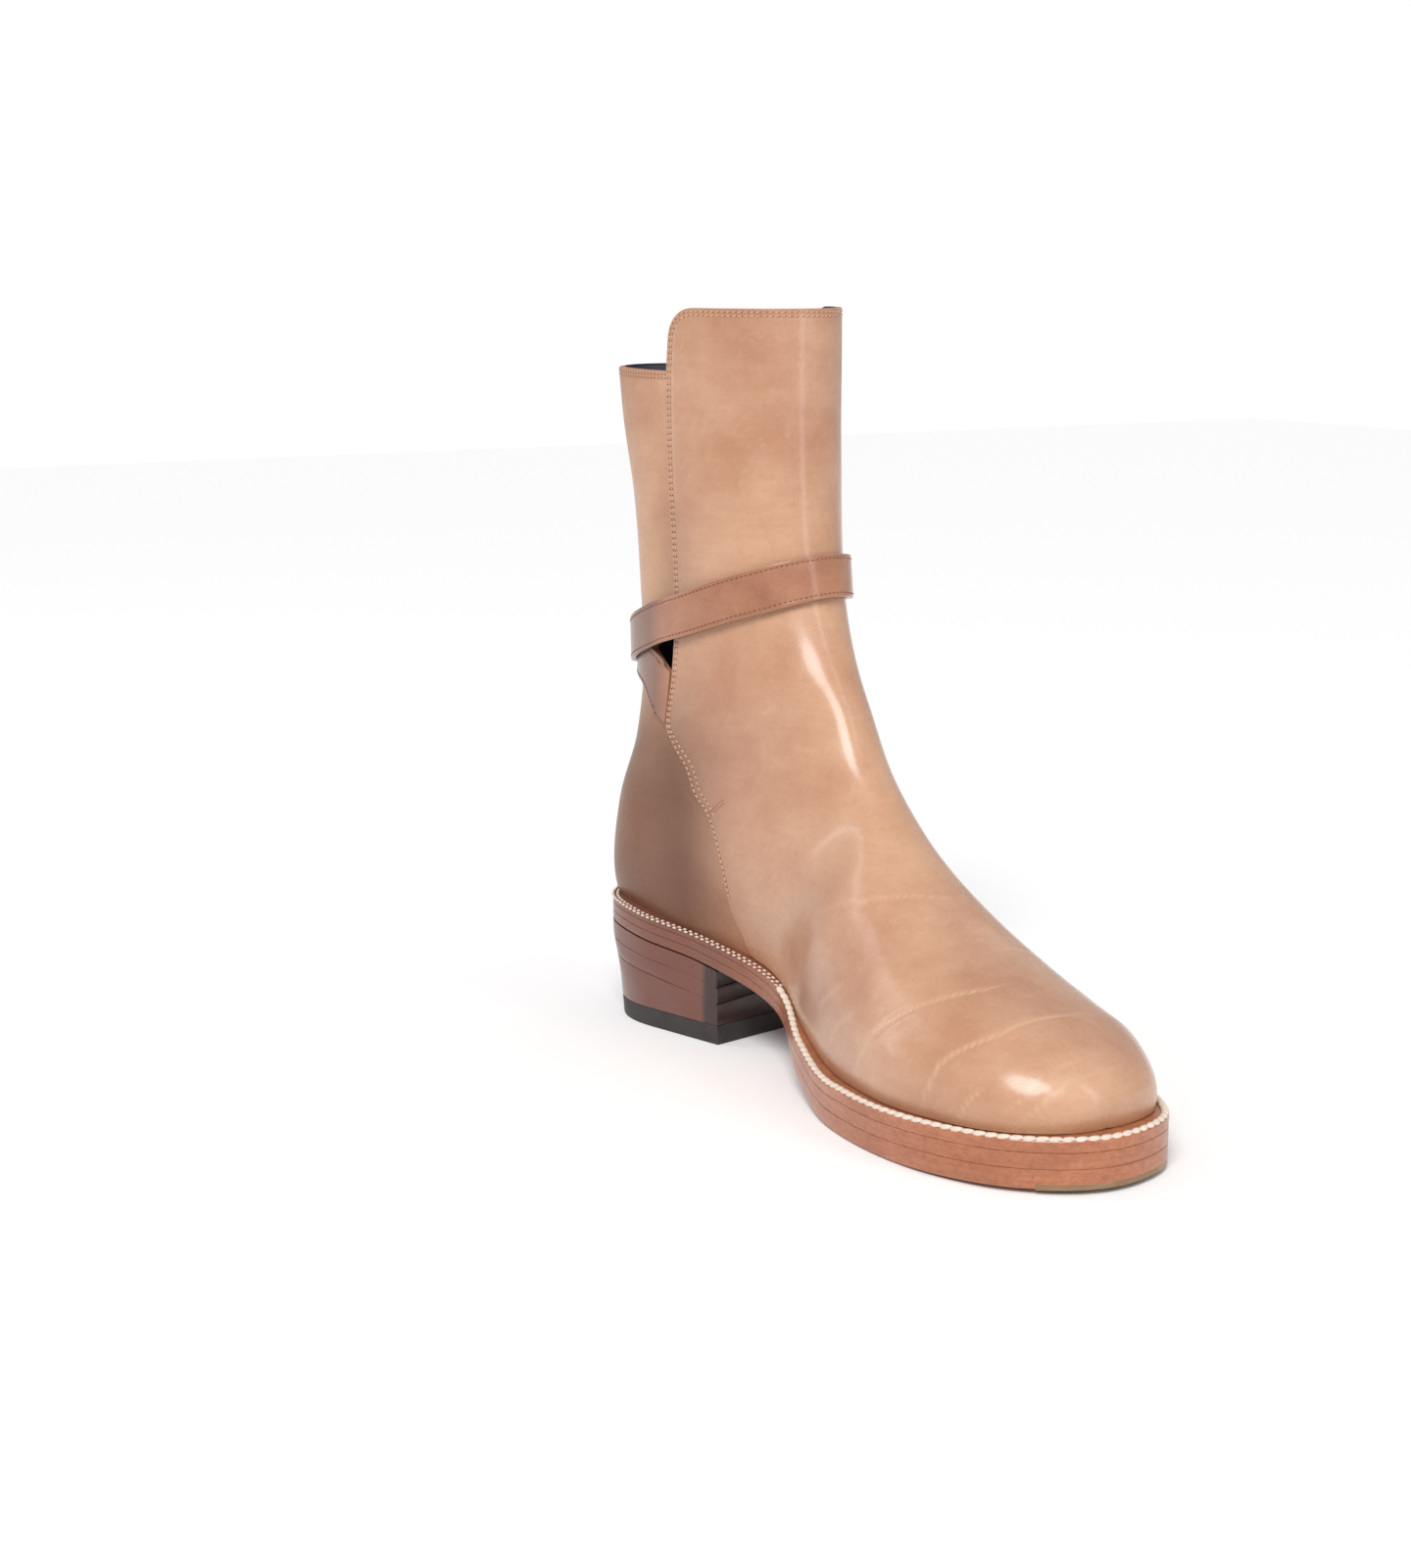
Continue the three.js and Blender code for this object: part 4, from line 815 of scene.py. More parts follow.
def crease_relief(points):
    """Height and paleness that the wrinkles give to points of the vamp. Each wrinkle is a soft trough
    between two lips that fades at its ends."""
    flat = points.reshape(-1, 3)
    height, pale = np.zeros(len(flat)), np.zeros(len(flat))
    near = flat[:, 0] > 120
    for spots, width, depth, lip in CREASES:
        line = even_line([(x, math.radians(a) * WRINKLE_REACH) for x, a in spots], WRINKLE_SPOTS)
        angle = line[:, 1] / WRINKLE_REACH
        line = form_point(spot_along(line[:, 0], angle), angle)
        away = flat[near][:, None, :] - line[None]
        nearest = (away**2).sum(-1).argmin(1)
        away = away[np.arange(len(nearest)), nearest]
        step = np.gradient(line, axis=0)
        length = np.sqrt((step**2).sum(-1, keepdims=True))
        run = (step / length)[nearest]
        reach = 0.6 * length[nearest]
        away = away - np.clip((away * run).sum(-1, keepdims=True), -reach, reach) * run
        distance = np.sqrt((away**2).sum(-1))
        ends = np.clip(np.minimum(nearest, WRINKLE_SPOTS - 1 - nearest) / 12, 0, 1)
        signed = np.sign(away[:, 0]) * distance
        height[near] += ends * (-depth * np.exp(-((distance / (0.45 * width)) ** 2))
                                + lip * np.exp(-(((signed - width) / width) ** 2))
                                + lip * 0.7 * np.exp(-(((signed + width) / width) ** 2)))
        rubbed = ends * (0.4 + 2 * depth) * np.exp(-((distance / (0.36 * width)) ** 2))
        pale[near] = np.maximum(pale[near], rubbed)
    return height.reshape(points.shape[:-1]), pale.reshape(points.shape[:-1])


def leather_shell(name, leather, places, angles, off, wall, faces, values):
    """A sheet of leather with its lining and cut edges, over faces of a grid of spots."""
    places, angles, off, wall = (np.ravel(grid) for grid in (places, angles, off, wall))
    outer = on_form(places, angles, off)
    faces = np.array(outward(outer, faces, form_normal(places, angles)))
    count = len(outer)
    edges = np.stack([faces, np.roll(faces, -1, 1)], -1).reshape(-1, 2)
    keys, back = edges[:, 0] * count + edges[:, 1], edges[:, 1] * count + edges[:, 0]
    rim = edges[~np.isin(keys, back)]
    rim = rim[np.linalg.norm(outer[rim[:, 0]] - outer[rim[:, 1]], axis=1) > 1e-3]
    rim = np.stack([rim[:, 1], rim[:, 0], rim[:, 0] + count, rim[:, 1] + count], 1)
    points = np.vstack([outer, on_form(places, angles, off - wall)])
    numbers = [0] * len(faces) + [1] * len(faces) + [2] * len(rim)
    faces = faces.tolist() + (faces[:, ::-1] + count).tolist() + rim.tolist()
    return make_piece(name, points, faces, [leather, lining_leather, cut_leather], shade=42,
                      turn_out=False, numbers=numbers,
                      values={key: np.tile(np.ravel(value), 2) for key, value in values.items()})


EDGE_WEAR = 2.2     # distance over which the dye is darker at an edge


def round_off(distance, radius=0.5):
    """Height lost by a rounded edge at a distance from it."""
    inside = np.clip(distance / radius, 0, 1)
    return radius * (1 - np.sqrt(1 - (1 - inside) ** 2))


def seam_groove(distance, depth=0.16, width=0.45):
    """Height that the seams take from the leather at a distance from an edge."""
    return -depth * sum(np.exp(-(((distance - row) / width) ** 2)) for row in SEAM_ROWS)


THIN_EDGE, OVER_BACK = 0.36, 0.62   # wall of the front panel on the back panel and above it, as shares


def make_front_panel():
    """The front panel from collar to toe, thin where it lies on the back panel."""
    places, angles, shaft_rows = front_panel_spots()
    points = form_point(places, angles)
    from_edge = np.minimum(run_from_start(points, 1), run_from_start(points[:, ::-1], 1)[:, ::-1])
    from_edge[shaft_rows:] += 30 * (np.arange(len(points) - shaft_rows)[:, None] + 1)
    from_top = run_from_start(points, 0)
    distance = np.minimum(from_edge, from_top)
    relief, pale = crease_relief(points)
    off = LAP / 2 - round_off(distance) + seam_groove(distance) + relief
    wall = mix(THIN_EDGE, 1, np.clip((from_edge - 7) / 2, 0, 1))
    above = np.clip((points[..., 2] - BACK_TOP + 1) / 3, 0, 1)
    wall = (WALL + LAP) * np.minimum(np.maximum(wall, OVER_BACK * above), mix(1, OVER_BACK, above))
    # The shade attribute paints shade on the inner side of the front panel
    return leather_shell("front_panel", upper_leather, places, angles, off, wall,
                         grid_faces(*places.shape), {"crease": pale, "edge": np.exp(-distance / EDGE_WEAR),
                                                     "shade": inner_painted_shade(points, angles)})


def inner_painted_shade(points, angles):
    """Painted shade, darker and redder, on the inner side low behind the vamp; also a darker patch at half
    strength above the ankle.
    """
    inner = np.clip(-np.cos(angles) / 0.35, 0, 1)
    along, height = points[..., 0], points[..., 2]
    low = np.exp(-np.clip((along - 62) / 26, 0, None) ** 2 - (np.clip(height - 110, 0, None) / 30) ** 2)
    return inner * np.maximum(low, 0.5 * np.exp(-((along - 66) / 12) ** 2 - ((height - 182) / 26) ** 2))


# Notch of the back panel beside the front panel's edge, a triangle of the side view
NOTCH_Z = 0.507 * BOOT_HEIGHT
NOTCH = np.array([edge_x(NOTCH_Z), NOTCH_Z]) + [(3, 18.5), (-15, 9.5), (2.5, -2.2)]
NOTCH_SIDES = list(zip(NOTCH, np.roll(NOTCH, -1, 0)))


def inside_notch(x, z):
    """Whether points of the side view lie inside the notch."""
    return np.logical_and.reduce([(b[0] - a[0]) * (z - a[1]) - (b[1] - a[1]) * (x - a[0]) > 0
                                  for a, b in NOTCH_SIDES])


def on_notch(x, z):
    """Nearest points on the notch's sides."""
    near = []
    for a, b in NOTCH_SIDES:
        run = b - a
        share = np.clip(((x - a[0]) * run[0] + (z - a[1]) * run[1]) / (run @ run), 0, 1)
        near.append((a[0] + run[0] * share, a[1] + run[1] * share))
    near = np.array(near)
    best = np.hypot(near[:, 0] - x, near[:, 1] - z).argmin(0)
    return near[best, 0, np.arange(len(x))], near[best, 1, np.arange(len(x))]


def make_back_panel():
    """The back panel, open at the notch on both sides, with straight edges there."""
    places, angles = back_panel_spots()
    points = form_point(places, angles).reshape(-1, 3)
    faces = np.array(grid_faces(*places.shape))
    middle = points[faces].mean(1)
    gone = inside_notch(middle[:, 0], middle[:, 2])
    rim = np.intersect1d(faces[gone], faces[~gone])
    spot, angle = side_spot(*on_notch(points[rim, 0], points[rim, 2]))
    inner = np.cos(angles.ravel()[rim]) < 0
    places.ravel()[rim] = spot
    angles.ravel()[rim] = np.where(inner, angle, 3 * math.pi - angle)
    points = form_point(places, angles)
    from_top = run_from_start(points, 0)
    off = -LAP / 2 - round_off(from_top) + seam_groove(from_top)
    # The shade attribute paints shade low on the inner side of the back panel
    return leather_shell("back_panel", quarter_leather, places, angles, off, np.full(off.shape, WALL),
                         faces[~gone].tolist(), {"crease": 0 * off, "edge": np.exp(-from_top / EDGE_WEAR),
                                                 "shade": inner_painted_shade(points, angles)})


# ---- Straps ----

# How far the straps and the buckle's bars stand off the last, and the places of both
ON_BACK = -LAP / 2 + LAYER_GAP + 0.2
ON_FRONT = LAP / 2 + 1.0
OVER_STRAP = ON_BACK + STRAP_THICKNESS + 0.5
BAR_RADIUS, BUCKLE_LENGTH, BUCKLE_HEIGHT, BUCKLE_CORNER, PRONG = 0.9, 15.0, 21.0, 3.0, 0.7
CENTRE_BAR = ON_BACK + STRAP_THICKNESS + BAR_RADIUS + 0.2
UNDER_BARS = CENTRE_BAR + BAR_RADIUS + LAYER_GAP
OUTER_BARS = UNDER_BARS + STRAP_THICKNESS + 2 * LAYER_GAP + BAR_RADIUS
ROOT_UP, BUCKLE_UP, BUCKLE_X, TIP_REACH = 0.723, 0.945, 50.0, 22.0


def on_shaft(turn, z, off=0.0):
    """Point at an angle in degrees and a height of the shaft, off the last."""
    angle, z = np.broadcast_arrays(np.radians(turn), np.asarray(z, float))
    place = find_place(angle, lambda p: p[..., 2] - z, high=FOOT_END * 0.62)
    return on_form(place, angle, np.broadcast_to(off, angle.shape))


def turn_at(x, z, rear):
    """Angle in degrees at which the last is x along, between the ridge and the rear."""
    front = 90.0
    for _ in range(30):
        middle = (front + rear) / 2
        if on_shaft(middle, z)[..., 0] > x:
            front = middle
        else:
            rear = middle
    return (front + rear) / 2


BUCKLE_Z = BUCKLE_UP * STRAP_FRONT
BUCKLE_TURN = turn_at(BUCKLE_X, BUCKLE_Z, -90.0)
TIP_TURN = turn_at(BUCKLE_X - TIP_REACH, BUCKLE_Z, -90.0)
ROOT_Z = ROOT_UP * STRAP_FRONT
ROOT_OUTER, ROOT_INNER = (turn_at(edge_x(ROOT_Z) + 4, ROOT_Z, rear) for rear in (-90.0, 270.0))

# Round the ankle in degrees, height of the middle as a share of STRAP_FRONT, off the last
LONG_STRAP = [
    (ROOT_OUTER, ROOT_UP, ON_BACK), (-22, 0.748, ON_BACK + 1.4), (-45, 0.778, OVER_STRAP),
    (-90, 0.808, OVER_STRAP), (-135, 0.835, OVER_STRAP), (-165, 0.872, OVER_STRAP),
    (-190, 0.911, OVER_STRAP - 0.4), (-220, 0.958, ON_FRONT + 0.2), (-270, 1.000, ON_FRONT),
    (-320, 0.984, ON_FRONT + 0.3), (BUCKLE_TURN - 346, 0.957, UNDER_BARS - 0.5),
    (BUCKLE_TURN - 360, BUCKLE_UP, UNDER_BARS), (TIP_TURN - 360, 0.934, UNDER_BARS - 0.3)]
SHORT_STRAP = [
    (ROOT_INNER, ROOT_UP, ON_BACK), (194, 0.788, ON_BACK), (225, 0.810, ON_BACK), (270, 0.832, ON_BACK),
    (300, 0.866, ON_BACK), (326, 0.908, ON_BACK), (BUCKLE_TURN + 357.8, BUCKLE_UP, ON_BACK)]


class StrapPath:
    """Middle line of a strap round the ankle."""
    def __init__(self, rows):
        self.turns = [row[0] for row in rows]
        self.way = 1 if self.turns[-1] > self.turns[0] else -1
        self.curve = curve_through([self.way * (turn - self.turns[0]) for turn in self.turns],
                                   [row[1:] for row in rows])
        turns = np.linspace(self.turns[0], self.turns[-1], 500)
        run = run_along(self.at(turns, 0.0, 0.0))
        self.length = run[-1]
        self.turn_of = lambda distance: np.interp(distance, run, turns)

    def at(self, turn, across, lift):
        """Point at a turn, so many millimetres across the strap and above its inner face."""
        turn = np.asarray(turn, float)
        row, ahead = (self.curve(self.way * (turn + step - self.turns[0])) for step in (0, 0.5))
        z, off = row[..., 0] * STRAP_FRONT, row[..., 1]
        run = on_shaft(turn + 0.5, ahead[..., 0] * STRAP_FRONT) - on_shaft(turn, z)
        steep = np.linalg.norm(run, axis=-1) / np.hypot(run[..., 0], run[..., 1])
        return on_shaft(turn, z + across * steep, off + lift)


def strap_start(path, across):
    """Distance along a strap at which it comes out from the front panel's edge."""
    run = np.linspace(0, 30, 240)
    point = path.at(path.turn_of(run), np.full(240, across), np.zeros(240))
    return float(run[np.argmax(point[:, 0] < edge_x(point[:, 2]) - 0.35)])


# Half of a strap's section: share of its half width, height on its outer face in millimetres
STRAP_TOP = [(-1.0, -0.275), (-0.985, -0.14), (-0.95, -0.04), (-0.90, 0.0), (-0.85, -0.01), (-0.81, -0.08),
             (-0.77, -0.01), (-0.70, 0.025), (-0.35, 0.08), (0.0, 0.1)]
STRAP_UNDER = [(0.98, 0.35), (0.94, 0.0), (0.0, 0.0), (-0.94, 0.0), (-0.98, 0.35)]


def make_strap(name, path, stations, tip_length):
    """A strap cut along the panel's edge, with rounded edges, pressed stitch lines and a pointed tip."""
    top = STRAP_TOP + [(-side, lift) for side, lift in reversed(STRAP_TOP[:-1])]
    profile = [(side, STRAP_THICKNESS + lift) for side, lift in top] + STRAP_UNDER
    sides, lifts = np.array(profile).T
    across = sides * STRAP_WIDTH / 2
    starts = np.array([strap_start(path, offset) for offset in across])
    first = starts.mean()
    run = np.linspace(first, path.length, stations)[:, None]
    turn = path.turn_of(run + (starts - first) * np.clip(1 - (run - first) / 34, 0, 1) ** 2)
    point = np.sqrt(np.clip((path.length - run) / tip_length, 0, 1)) * 0.98 + 0.02 if tip_length else 1.0
    rings = path.at(turn, across * point, lifts * mix(0.55, 1, np.clip((run - first) / 10, 0, 1)))
    edge = np.tile(np.clip(np.abs(sides) - 0.8, 0, 0.15) * 5, (stations, 1))
    pale = np.tile(np.abs(sides) > 0.97, (stations, 1)).astype(float)
    faces = grid_faces(stations, len(sides), closed=True) + end_faces(stations, len(sides))
    # The shade attribute paints shade where the straps pass the heel on the inner side
    return make_piece(name, rings.reshape(-1, 3), faces, [strap_leather], shade=50,
                      values={"edge": edge, "crease": pale, "shade": strap_painted_shade(rings)})


def strap_painted_shade(rings):
    """Painted shade, greyer and darker, where the straps pass the heel on the inner side."""
    return np.clip((64 - rings[..., 0]) / 8, 0, 1) * (rings[..., 1] < 10)


# ---- Buckle ----

class BuckleAxes:
    """Along the strap to the front, across it upwards and out of the boot, at the centre bar."""
    def __init__(self):
        self.centre = on_shaft(BUCKLE_TURN, BUCKLE_Z)
        up = on_shaft(BUCKLE_TURN, BUCKLE_Z, 1.0) - self.centre
        ahead = on_shaft(BUCKLE_TURN + 8, (BUCKLE_UP + 0.007) * STRAP_FRONT)
        behind = on_shaft(BUCKLE_TURN - 8, (BUCKLE_UP - 0.007) * STRAP_FRONT)
        self.out = up / np.linalg.norm(up)
        along = ahead - behind
        along -= self.out * (along @ self.out)
        self.along = along / np.linalg.norm(along)
        self.across = np.cross(self.out, self.along)

    def spot(self, along, across, out):
        return self.centre + sum(np.multiply.outer(share, way) for share, way in (
            (along, self.along), (across, self.across), (out, self.out)))


def swept_bar(points, radii, reference, closed=False, sides=16):
    """Round or oval bar along points, with its half width and half height against the reference."""
    points = np.asarray(points, float)
    if closed:
        run = np.roll(points, -1, 0) - np.roll(points, 1, 0)
    else:
        run = np.gradient(points, axis=0)
    run /= np.linalg.norm(run, axis=1)[:, None]
    side = np.cross(run, reference)
    side /= np.linalg.norm(side, axis=1)[:, None]
    up = np.cross(side, run)
    turn = np.linspace(0, 2 * math.pi, sides, endpoint=False)
    radii = np.broadcast_to(np.asarray(radii, float), (len(points), 2))
    rings = (points[:, None] + side[:, None] * (np.cos(turn)[None, :, None] * radii[:, :1, None])
             + up[:, None] * (np.sin(turn)[None, :, None] * radii[:, 1:, None]))
    count = len(points)
    faces = grid_faces(count, sides, closed=True)
    faces += joining_faces(count, sides) if closed else end_faces(count, sides)
    return rings.reshape(-1, 3), faces


def join_parts(parts):
    points, faces, start = [], [], 0
    for part_points, part_faces in parts:
        points.append(part_points)
        faces += [[i + start for i in face] for face in part_faces]
        start += len(part_points)
    return np.vstack(points), faces


def make_buckle():
    """The rim bowed over the strap with its centre bar, and the pin."""
    axes = BuckleAxes()
    half_length, half_height = BUCKLE_LENGTH / 2 - BAR_RADIUS, BUCKLE_HEIGHT / 2 - BAR_RADIUS
    outline = []
    for sx, sy, start in ((1, 1, 0), (-1, 1, 90), (-1, -1, 180), (1, -1, 270)):
        for turn in np.radians(np.linspace(start, start + 90, 8)):
            outline.append((sx * (half_length - BUCKLE_CORNER) + BUCKLE_CORNER * math.cos(turn),
                            sy * (half_height - BUCKLE_CORNER) + BUCKLE_CORNER * math.sin(turn)))
    outline = even_line(outline + outline[:1], 121, soft=False)[:-1]
    from_bar = np.clip(np.abs(outline[:, 0]), 0, half_length) / half_length
    bow = mix(OUTER_BARS, CENTRE_BAR, np.cos(math.pi / 2 * from_bar) ** 1.5)
    loop = axes.spot(outline[:, 0], outline[:, 1], bow)
    rim = swept_bar(loop, (BAR_RADIUS, BAR_RADIUS * 0.9), axes.out, closed=True, sides=20)
    across = np.linspace(-half_height, half_height, 9)
    bar = swept_bar(axes.spot(0 * across, across, CENTRE_BAR + 0 * across), (0.85, 0.85), axes.out)
    frame_piece = make_piece("buckle_rim", *join_parts([rim, bar]), [brass], shade=60)
    path = [(BAR_RADIUS + LAYER_GAP + PRONG, CENTRE_BAR - 0.1), (2.6, UNDER_BARS + 0.4),
            (3.6, UNDER_BARS + STRAP_THICKNESS * 0.8), (4.8, OUTER_BARS + 0.7),
            (BUCKLE_LENGTH / 2 - BAR_RADIUS, OUTER_BARS + BAR_RADIUS + LAYER_GAP + PRONG),
            (BUCKLE_LENGTH / 2 + 1.6, OUTER_BARS + BAR_RADIUS * 0.9 + PRONG)]
    path = even_line(path, 26)
    taper = mix(1, 0.72, np.linspace(0, 1, 26))[:, None] * (PRONG, PRONG * 0.9)
    taper[-1] *= 0.4
    pin = swept_bar(axes.spot(path[:, 0], 0 * path[:, 0], path[:, 1]), taper, axes.across)
    pin_piece = make_piece("buckle_pin", *pin, [brass], shade=60)
    return frame_piece, pin_piece


# ---- Sole ----

STATIONS = 150
CORNER = 0.8        # radius of the heel's breast corners


def sole_inset(x):
    """How far the sole's edge is drawn in under the welt's."""
    share = np.clip((np.asarray(x) / SOLE_LENGTH - 0.2) / 0.3, 0, 1)
    return mix(1.6, 0.2, share * share * (3 - 2 * share))


def sole_loop(inset_at, height_at):
    """Closed line along the sole's outline: the inner edge forward, then the outer edge back."""
    edges = Edges(inset_outline(inset_at))
    x = mix(edges.low, edges.high, (1 - np.cos(np.pi * np.arange(STATIONS + 1) / STATIONS)) / 2)
    inner = np.stack([x, edges.inner(x), height_at(x)], 1)
    outer = np.stack([x, edges.outer(x), height_at(x)], 1)[1:-1][::-1]
    return np.vstack([inner, outer])


def cap_faces(loops):
    """Faces across the first and the last of a layer's loops."""
    count, faces = 2 * STATIONS, []
    for start, way in ((0, -1), ((loops - 1) * count, 1)):
        back = [start] + [start + count - i for i in range(1, STATIONS)] + [start + STATIONS]
        for i in range(STATIONS):
            face = list(dict.fromkeys([start + i, start + i + 1, back[i + 1], back[i]]))
            faces.append(face[::way])
    return faces


def sole_layer(name, profile, floor_at, top_at, materials, hollow=None):
    """A layer of the sole from loops of (inset, share of its thickness, lift), solid or a ring."""
    loops = [sole_loop(lambda x, d=inset: sole_inset(x) + d,
                       lambda x, u=share, h=lift: mix(floor_at(x), top_at(x), u) + h)
             for inset, share, lift in profile]
    if hollow:
        loops += [sole_loop(hollow, top_at), sole_loop(hollow, floor_at)]
    faces = grid_faces(len(loops), 2 * STATIONS, closed=True)
    faces += joining_faces(len(loops), 2 * STATIONS) if hollow else cap_faces(len(loops))
    return make_piece(name, np.vstack(loops), faces, materials, shade=28)


# Edges of the layers from below: inset, share of the layer's thickness, lift
OUTSOLE_EDGE = [(1.6, 0, 0), (0.7, 0, 0.18), (0.22, 0, 0.6), (0.0, 0, 1.3), (-0.05, 0.5, 0),
                (0.0, 1, -0.18), (0.14, 1, -0.04), (0.7, 1, -0.01)]
MIDSOLE_EDGE = [(0.75, 0, 0), (0.14, 0, 0.04), (0.0, 0, 0.2), (-0.05, 0.35, 0), (-0.05, 0.7, 0),
                (0.0, 1, -0.16), (0.14, 1, -0.03), (0.7, 1, -0.01)]
WELT_EDGE = [(0.7, 0, 0), (0.14, 0, 0.04), (0.0, 0, 0.2), (-0.1, 0.5, 0), (-0.02, 1, -0.5),
             (0.2, 1, -0.15), (0.5, 1, 0.0), (0.9, 1, -0.1), (1.3, 1, -0.35), (2.4, 1, -0.45),
             (3.4, 1, -0.4)]


def make_sole():
    """Outsole, midsole and welt."""
    return (sole_layer("outsole_leather", OUTSOLE_EDGE, underside, lambda x: midsole_floor(x) - 0.02,
                       [sole_leather]),
            sole_layer("midsole_leather", MIDSOLE_EDGE, midsole_floor, lambda x: welt_floor(x) - 0.02,
                       [sole_leather]),
            sole_layer("welt_strip", WELT_EDGE, welt_floor, welt_top, [sole_leather],
                       hollow=lambda x: welt_show(x) + 5.1))


def heel_loop(share, grow):
    """Closed line round the heel at a height share, grown outwards, with small breast corners."""
    half = mix(HEEL_BASE_WIDTH, HEEL_WIDTH, share) / 2 - 0.8 * math.sin(math.pi * share) + grow
    back = mix(HEEL_BASE_BACK, HEEL_SEAT_BACK, share) - 1.0 * math.sin(math.pi * share) + grow
    front = HEEL_BREAST + grow - 1.2 * math.sin(math.pi * share * 0.5)
    turn = np.linspace(-math.pi / 2, math.pi / 2, 90)
    power = 2 / HEEL_ROUNDNESS
    x = -back * np.abs(np.cos(turn)) ** power
    y = half * np.sign(np.sin(turn)) * np.abs(np.sin(turn)) ** power
    side = np.linspace(0, front - CORNER, 14)[1:]
    corner = np.radians(np.linspace(90, 0, 6))
    cx, cy = front - CORNER + CORNER * np.cos(corner), half - CORNER + CORNER * np.sin(corner)
    across = np.linspace(half - CORNER, -(half - CORNER), 26)[1:-1]
    x = np.concatenate([x, side, cx[1:], np.full(24, front), cx[::-1][:-1], side[::-1]])
    y = np.concatenate([y, np.full(13, half), cy[1:], across, -cy[::-1][:-1], np.full(13, -half)])
    return (HEEL_X + x * math.cos(HEEL_TURN) - y * math.sin(HEEL_TURN),
            x * math.sin(HEEL_TURN) + y * math.cos(HEEL_TURN))


SOLE_EDGES = Edges(inset_outline(sole_inset))


def heel_slice(name, floor_at, top_at, material, groove):
    """A lift of the heel between two curves of the side view, with a groove at its top edge."""
    profile = [(0.0, -1.6, 0), (0.0, -0.5, 0.0), (0.0, -0.12, 0.14), (0.0, 0.0, 0.5), (0.5, 0.0, 0),
               (1.0, 0.0, -0.5), (1.0, -groove, -0.12), (1.0, -1.6, 0.0)]
    loops = []
    for share, grow, lift in profile:
        x, y = heel_loop(0.5, grow)
        for _ in range(3):
            z = mix(floor_at(x), top_at(x), share) + lift
            level = np.clip(z / np.maximum(underside(np.maximum(x, 0)), 1), 0, 1)
            loop = [heel_loop(float(v), grow) for v in (0.0, 0.5, 1.0)]
            pick = lambda k: np.where(level < 0.5, mix(loop[0][k], loop[1][k], level * 2),
                                      mix(loop[1][k], loop[2][k], level * 2 - 1))
            x, y = pick(0), pick(1)
        limit = np.clip(x, SOLE_EDGES.low, SOLE_EDGES.high)
        x = np.maximum(x, SOLE_EDGES.low + 0.4 - grow)
        y = np.clip(y, SOLE_EDGES.inner(limit), SOLE_EDGES.outer(limit))
        loops.append(np.stack([x, y, mix(floor_at(x), top_at(x), share) + lift], 1))
    count, points = len(loops[0]), np.vstack(loops)
    faces = grid_faces(len(loops), count, closed=True) + end_faces(len(loops), count)
    # Painted shade on the breast, which faces forward under the arch
    breast = np.clip((points[:, 0] - HEEL_X - HEEL_BREAST + 3) / 2, 0, 1)
    return make_piece(name, points, faces, [material], shade=32, values={"shade": breast})


def make_heel():
    """The three leather lifts, from the sole down, and the top lift."""
    def top_at(lift):
        return lambda x: underside(np.maximum(x, 0)) - 0.03 - lift * HEEL_LIFT
    floors = [lambda x: top_at(0)(x) - HEEL_LIFT + 0.05, lambda x: top_at(1)(x) - HEEL_LIFT + 0.05,
              lambda x: TOP_LIFT + 0.03 + 0 * x]
    lifts = [heel_slice(f"heel_stack_{i + 1}", floor, top_at(i), heel_leather, groove=0.12)
             for i, floor in enumerate(floors)]
    return lifts, heel_slice("heel_top_lift", lambda x: 0 * x, lambda x: TOP_LIFT + 0 * x, lift_rubber,
                             groove=0.2)


# Toe plate: depth from the toe, radius of its rear edge, points along it, and inset and height of
# its edge from below
PLATE_DEPTH, PLATE_ARC, PLATE_POINTS = 17.0, 70.0, 90
PLATE_EDGE = ((1.2, -0.1), (0.25, -0.1), (-0.06, 0.1), (-0.1, 0.5), (-0.1, 1.5), (0.0, 1.95), (0.8, 2.0))


def plate_rear(y):
    """X of the toe plate's rear edge."""
    return (TOE_REACH * SOLE_LENGTH - PLATE_DEPTH + PLATE_ARC
            - np.sqrt(PLATE_ARC**2 - np.clip(y, -60, 60) ** 2))


def make_toe_plate():
    """Brass plate let into the toe of the outsole, in front of an arc."""
    rings = []
    for inset, lift in PLATE_EDGE:
        loop = sole_loop(lambda x, d=inset: sole_inset(x) + d, lambda x, h=lift: underside(x) + h)
        loop = loop[loop[:, 0] > plate_rear(loop[:, 1])]
        order = np.argsort(np.arctan2(loop[:, 1], loop[:, 0] - 240))
        rings.append(even_line(loop[order], PLATE_POINTS, soft=False))
    y = np.linspace(rings[0][0, 1], rings[0][-1, 1], PLATE_POINTS)
    x = plate_rear(y)
    low, high = (np.column_stack([x, y, underside(x) + lift]) for lift in (-0.1, 1.9))
    rings = [low, *rings, high]
    faces = grid_faces(PLATE_POINTS, len(rings), closed=True) + end_faces(PLATE_POINTS, len(rings))
    return make_piece("toe_plate_brass", np.stack(rings, 1).reshape(-1, 3), faces, [plate_brass], shade=30)


def make_insole():
    loops = [sole_loop(lambda x, d=inset: welt_show(x) + LAP + WALL + 2.4 + d,
                       lambda x, h=lift: welt_top(x) + h)
             for inset, lift in ((0.3, -3), (0.3, 0.6), (0.5, 1.0), (1.1, 1.2), (4.0, 1.1))]
    faces = grid_faces(len(loops), 2 * STATIONS, closed=True) + cap_faces(len(loops))
    return make_piece("insole_leather", np.vstack(loops), faces, [insole_leather])


# ---- Seams ----

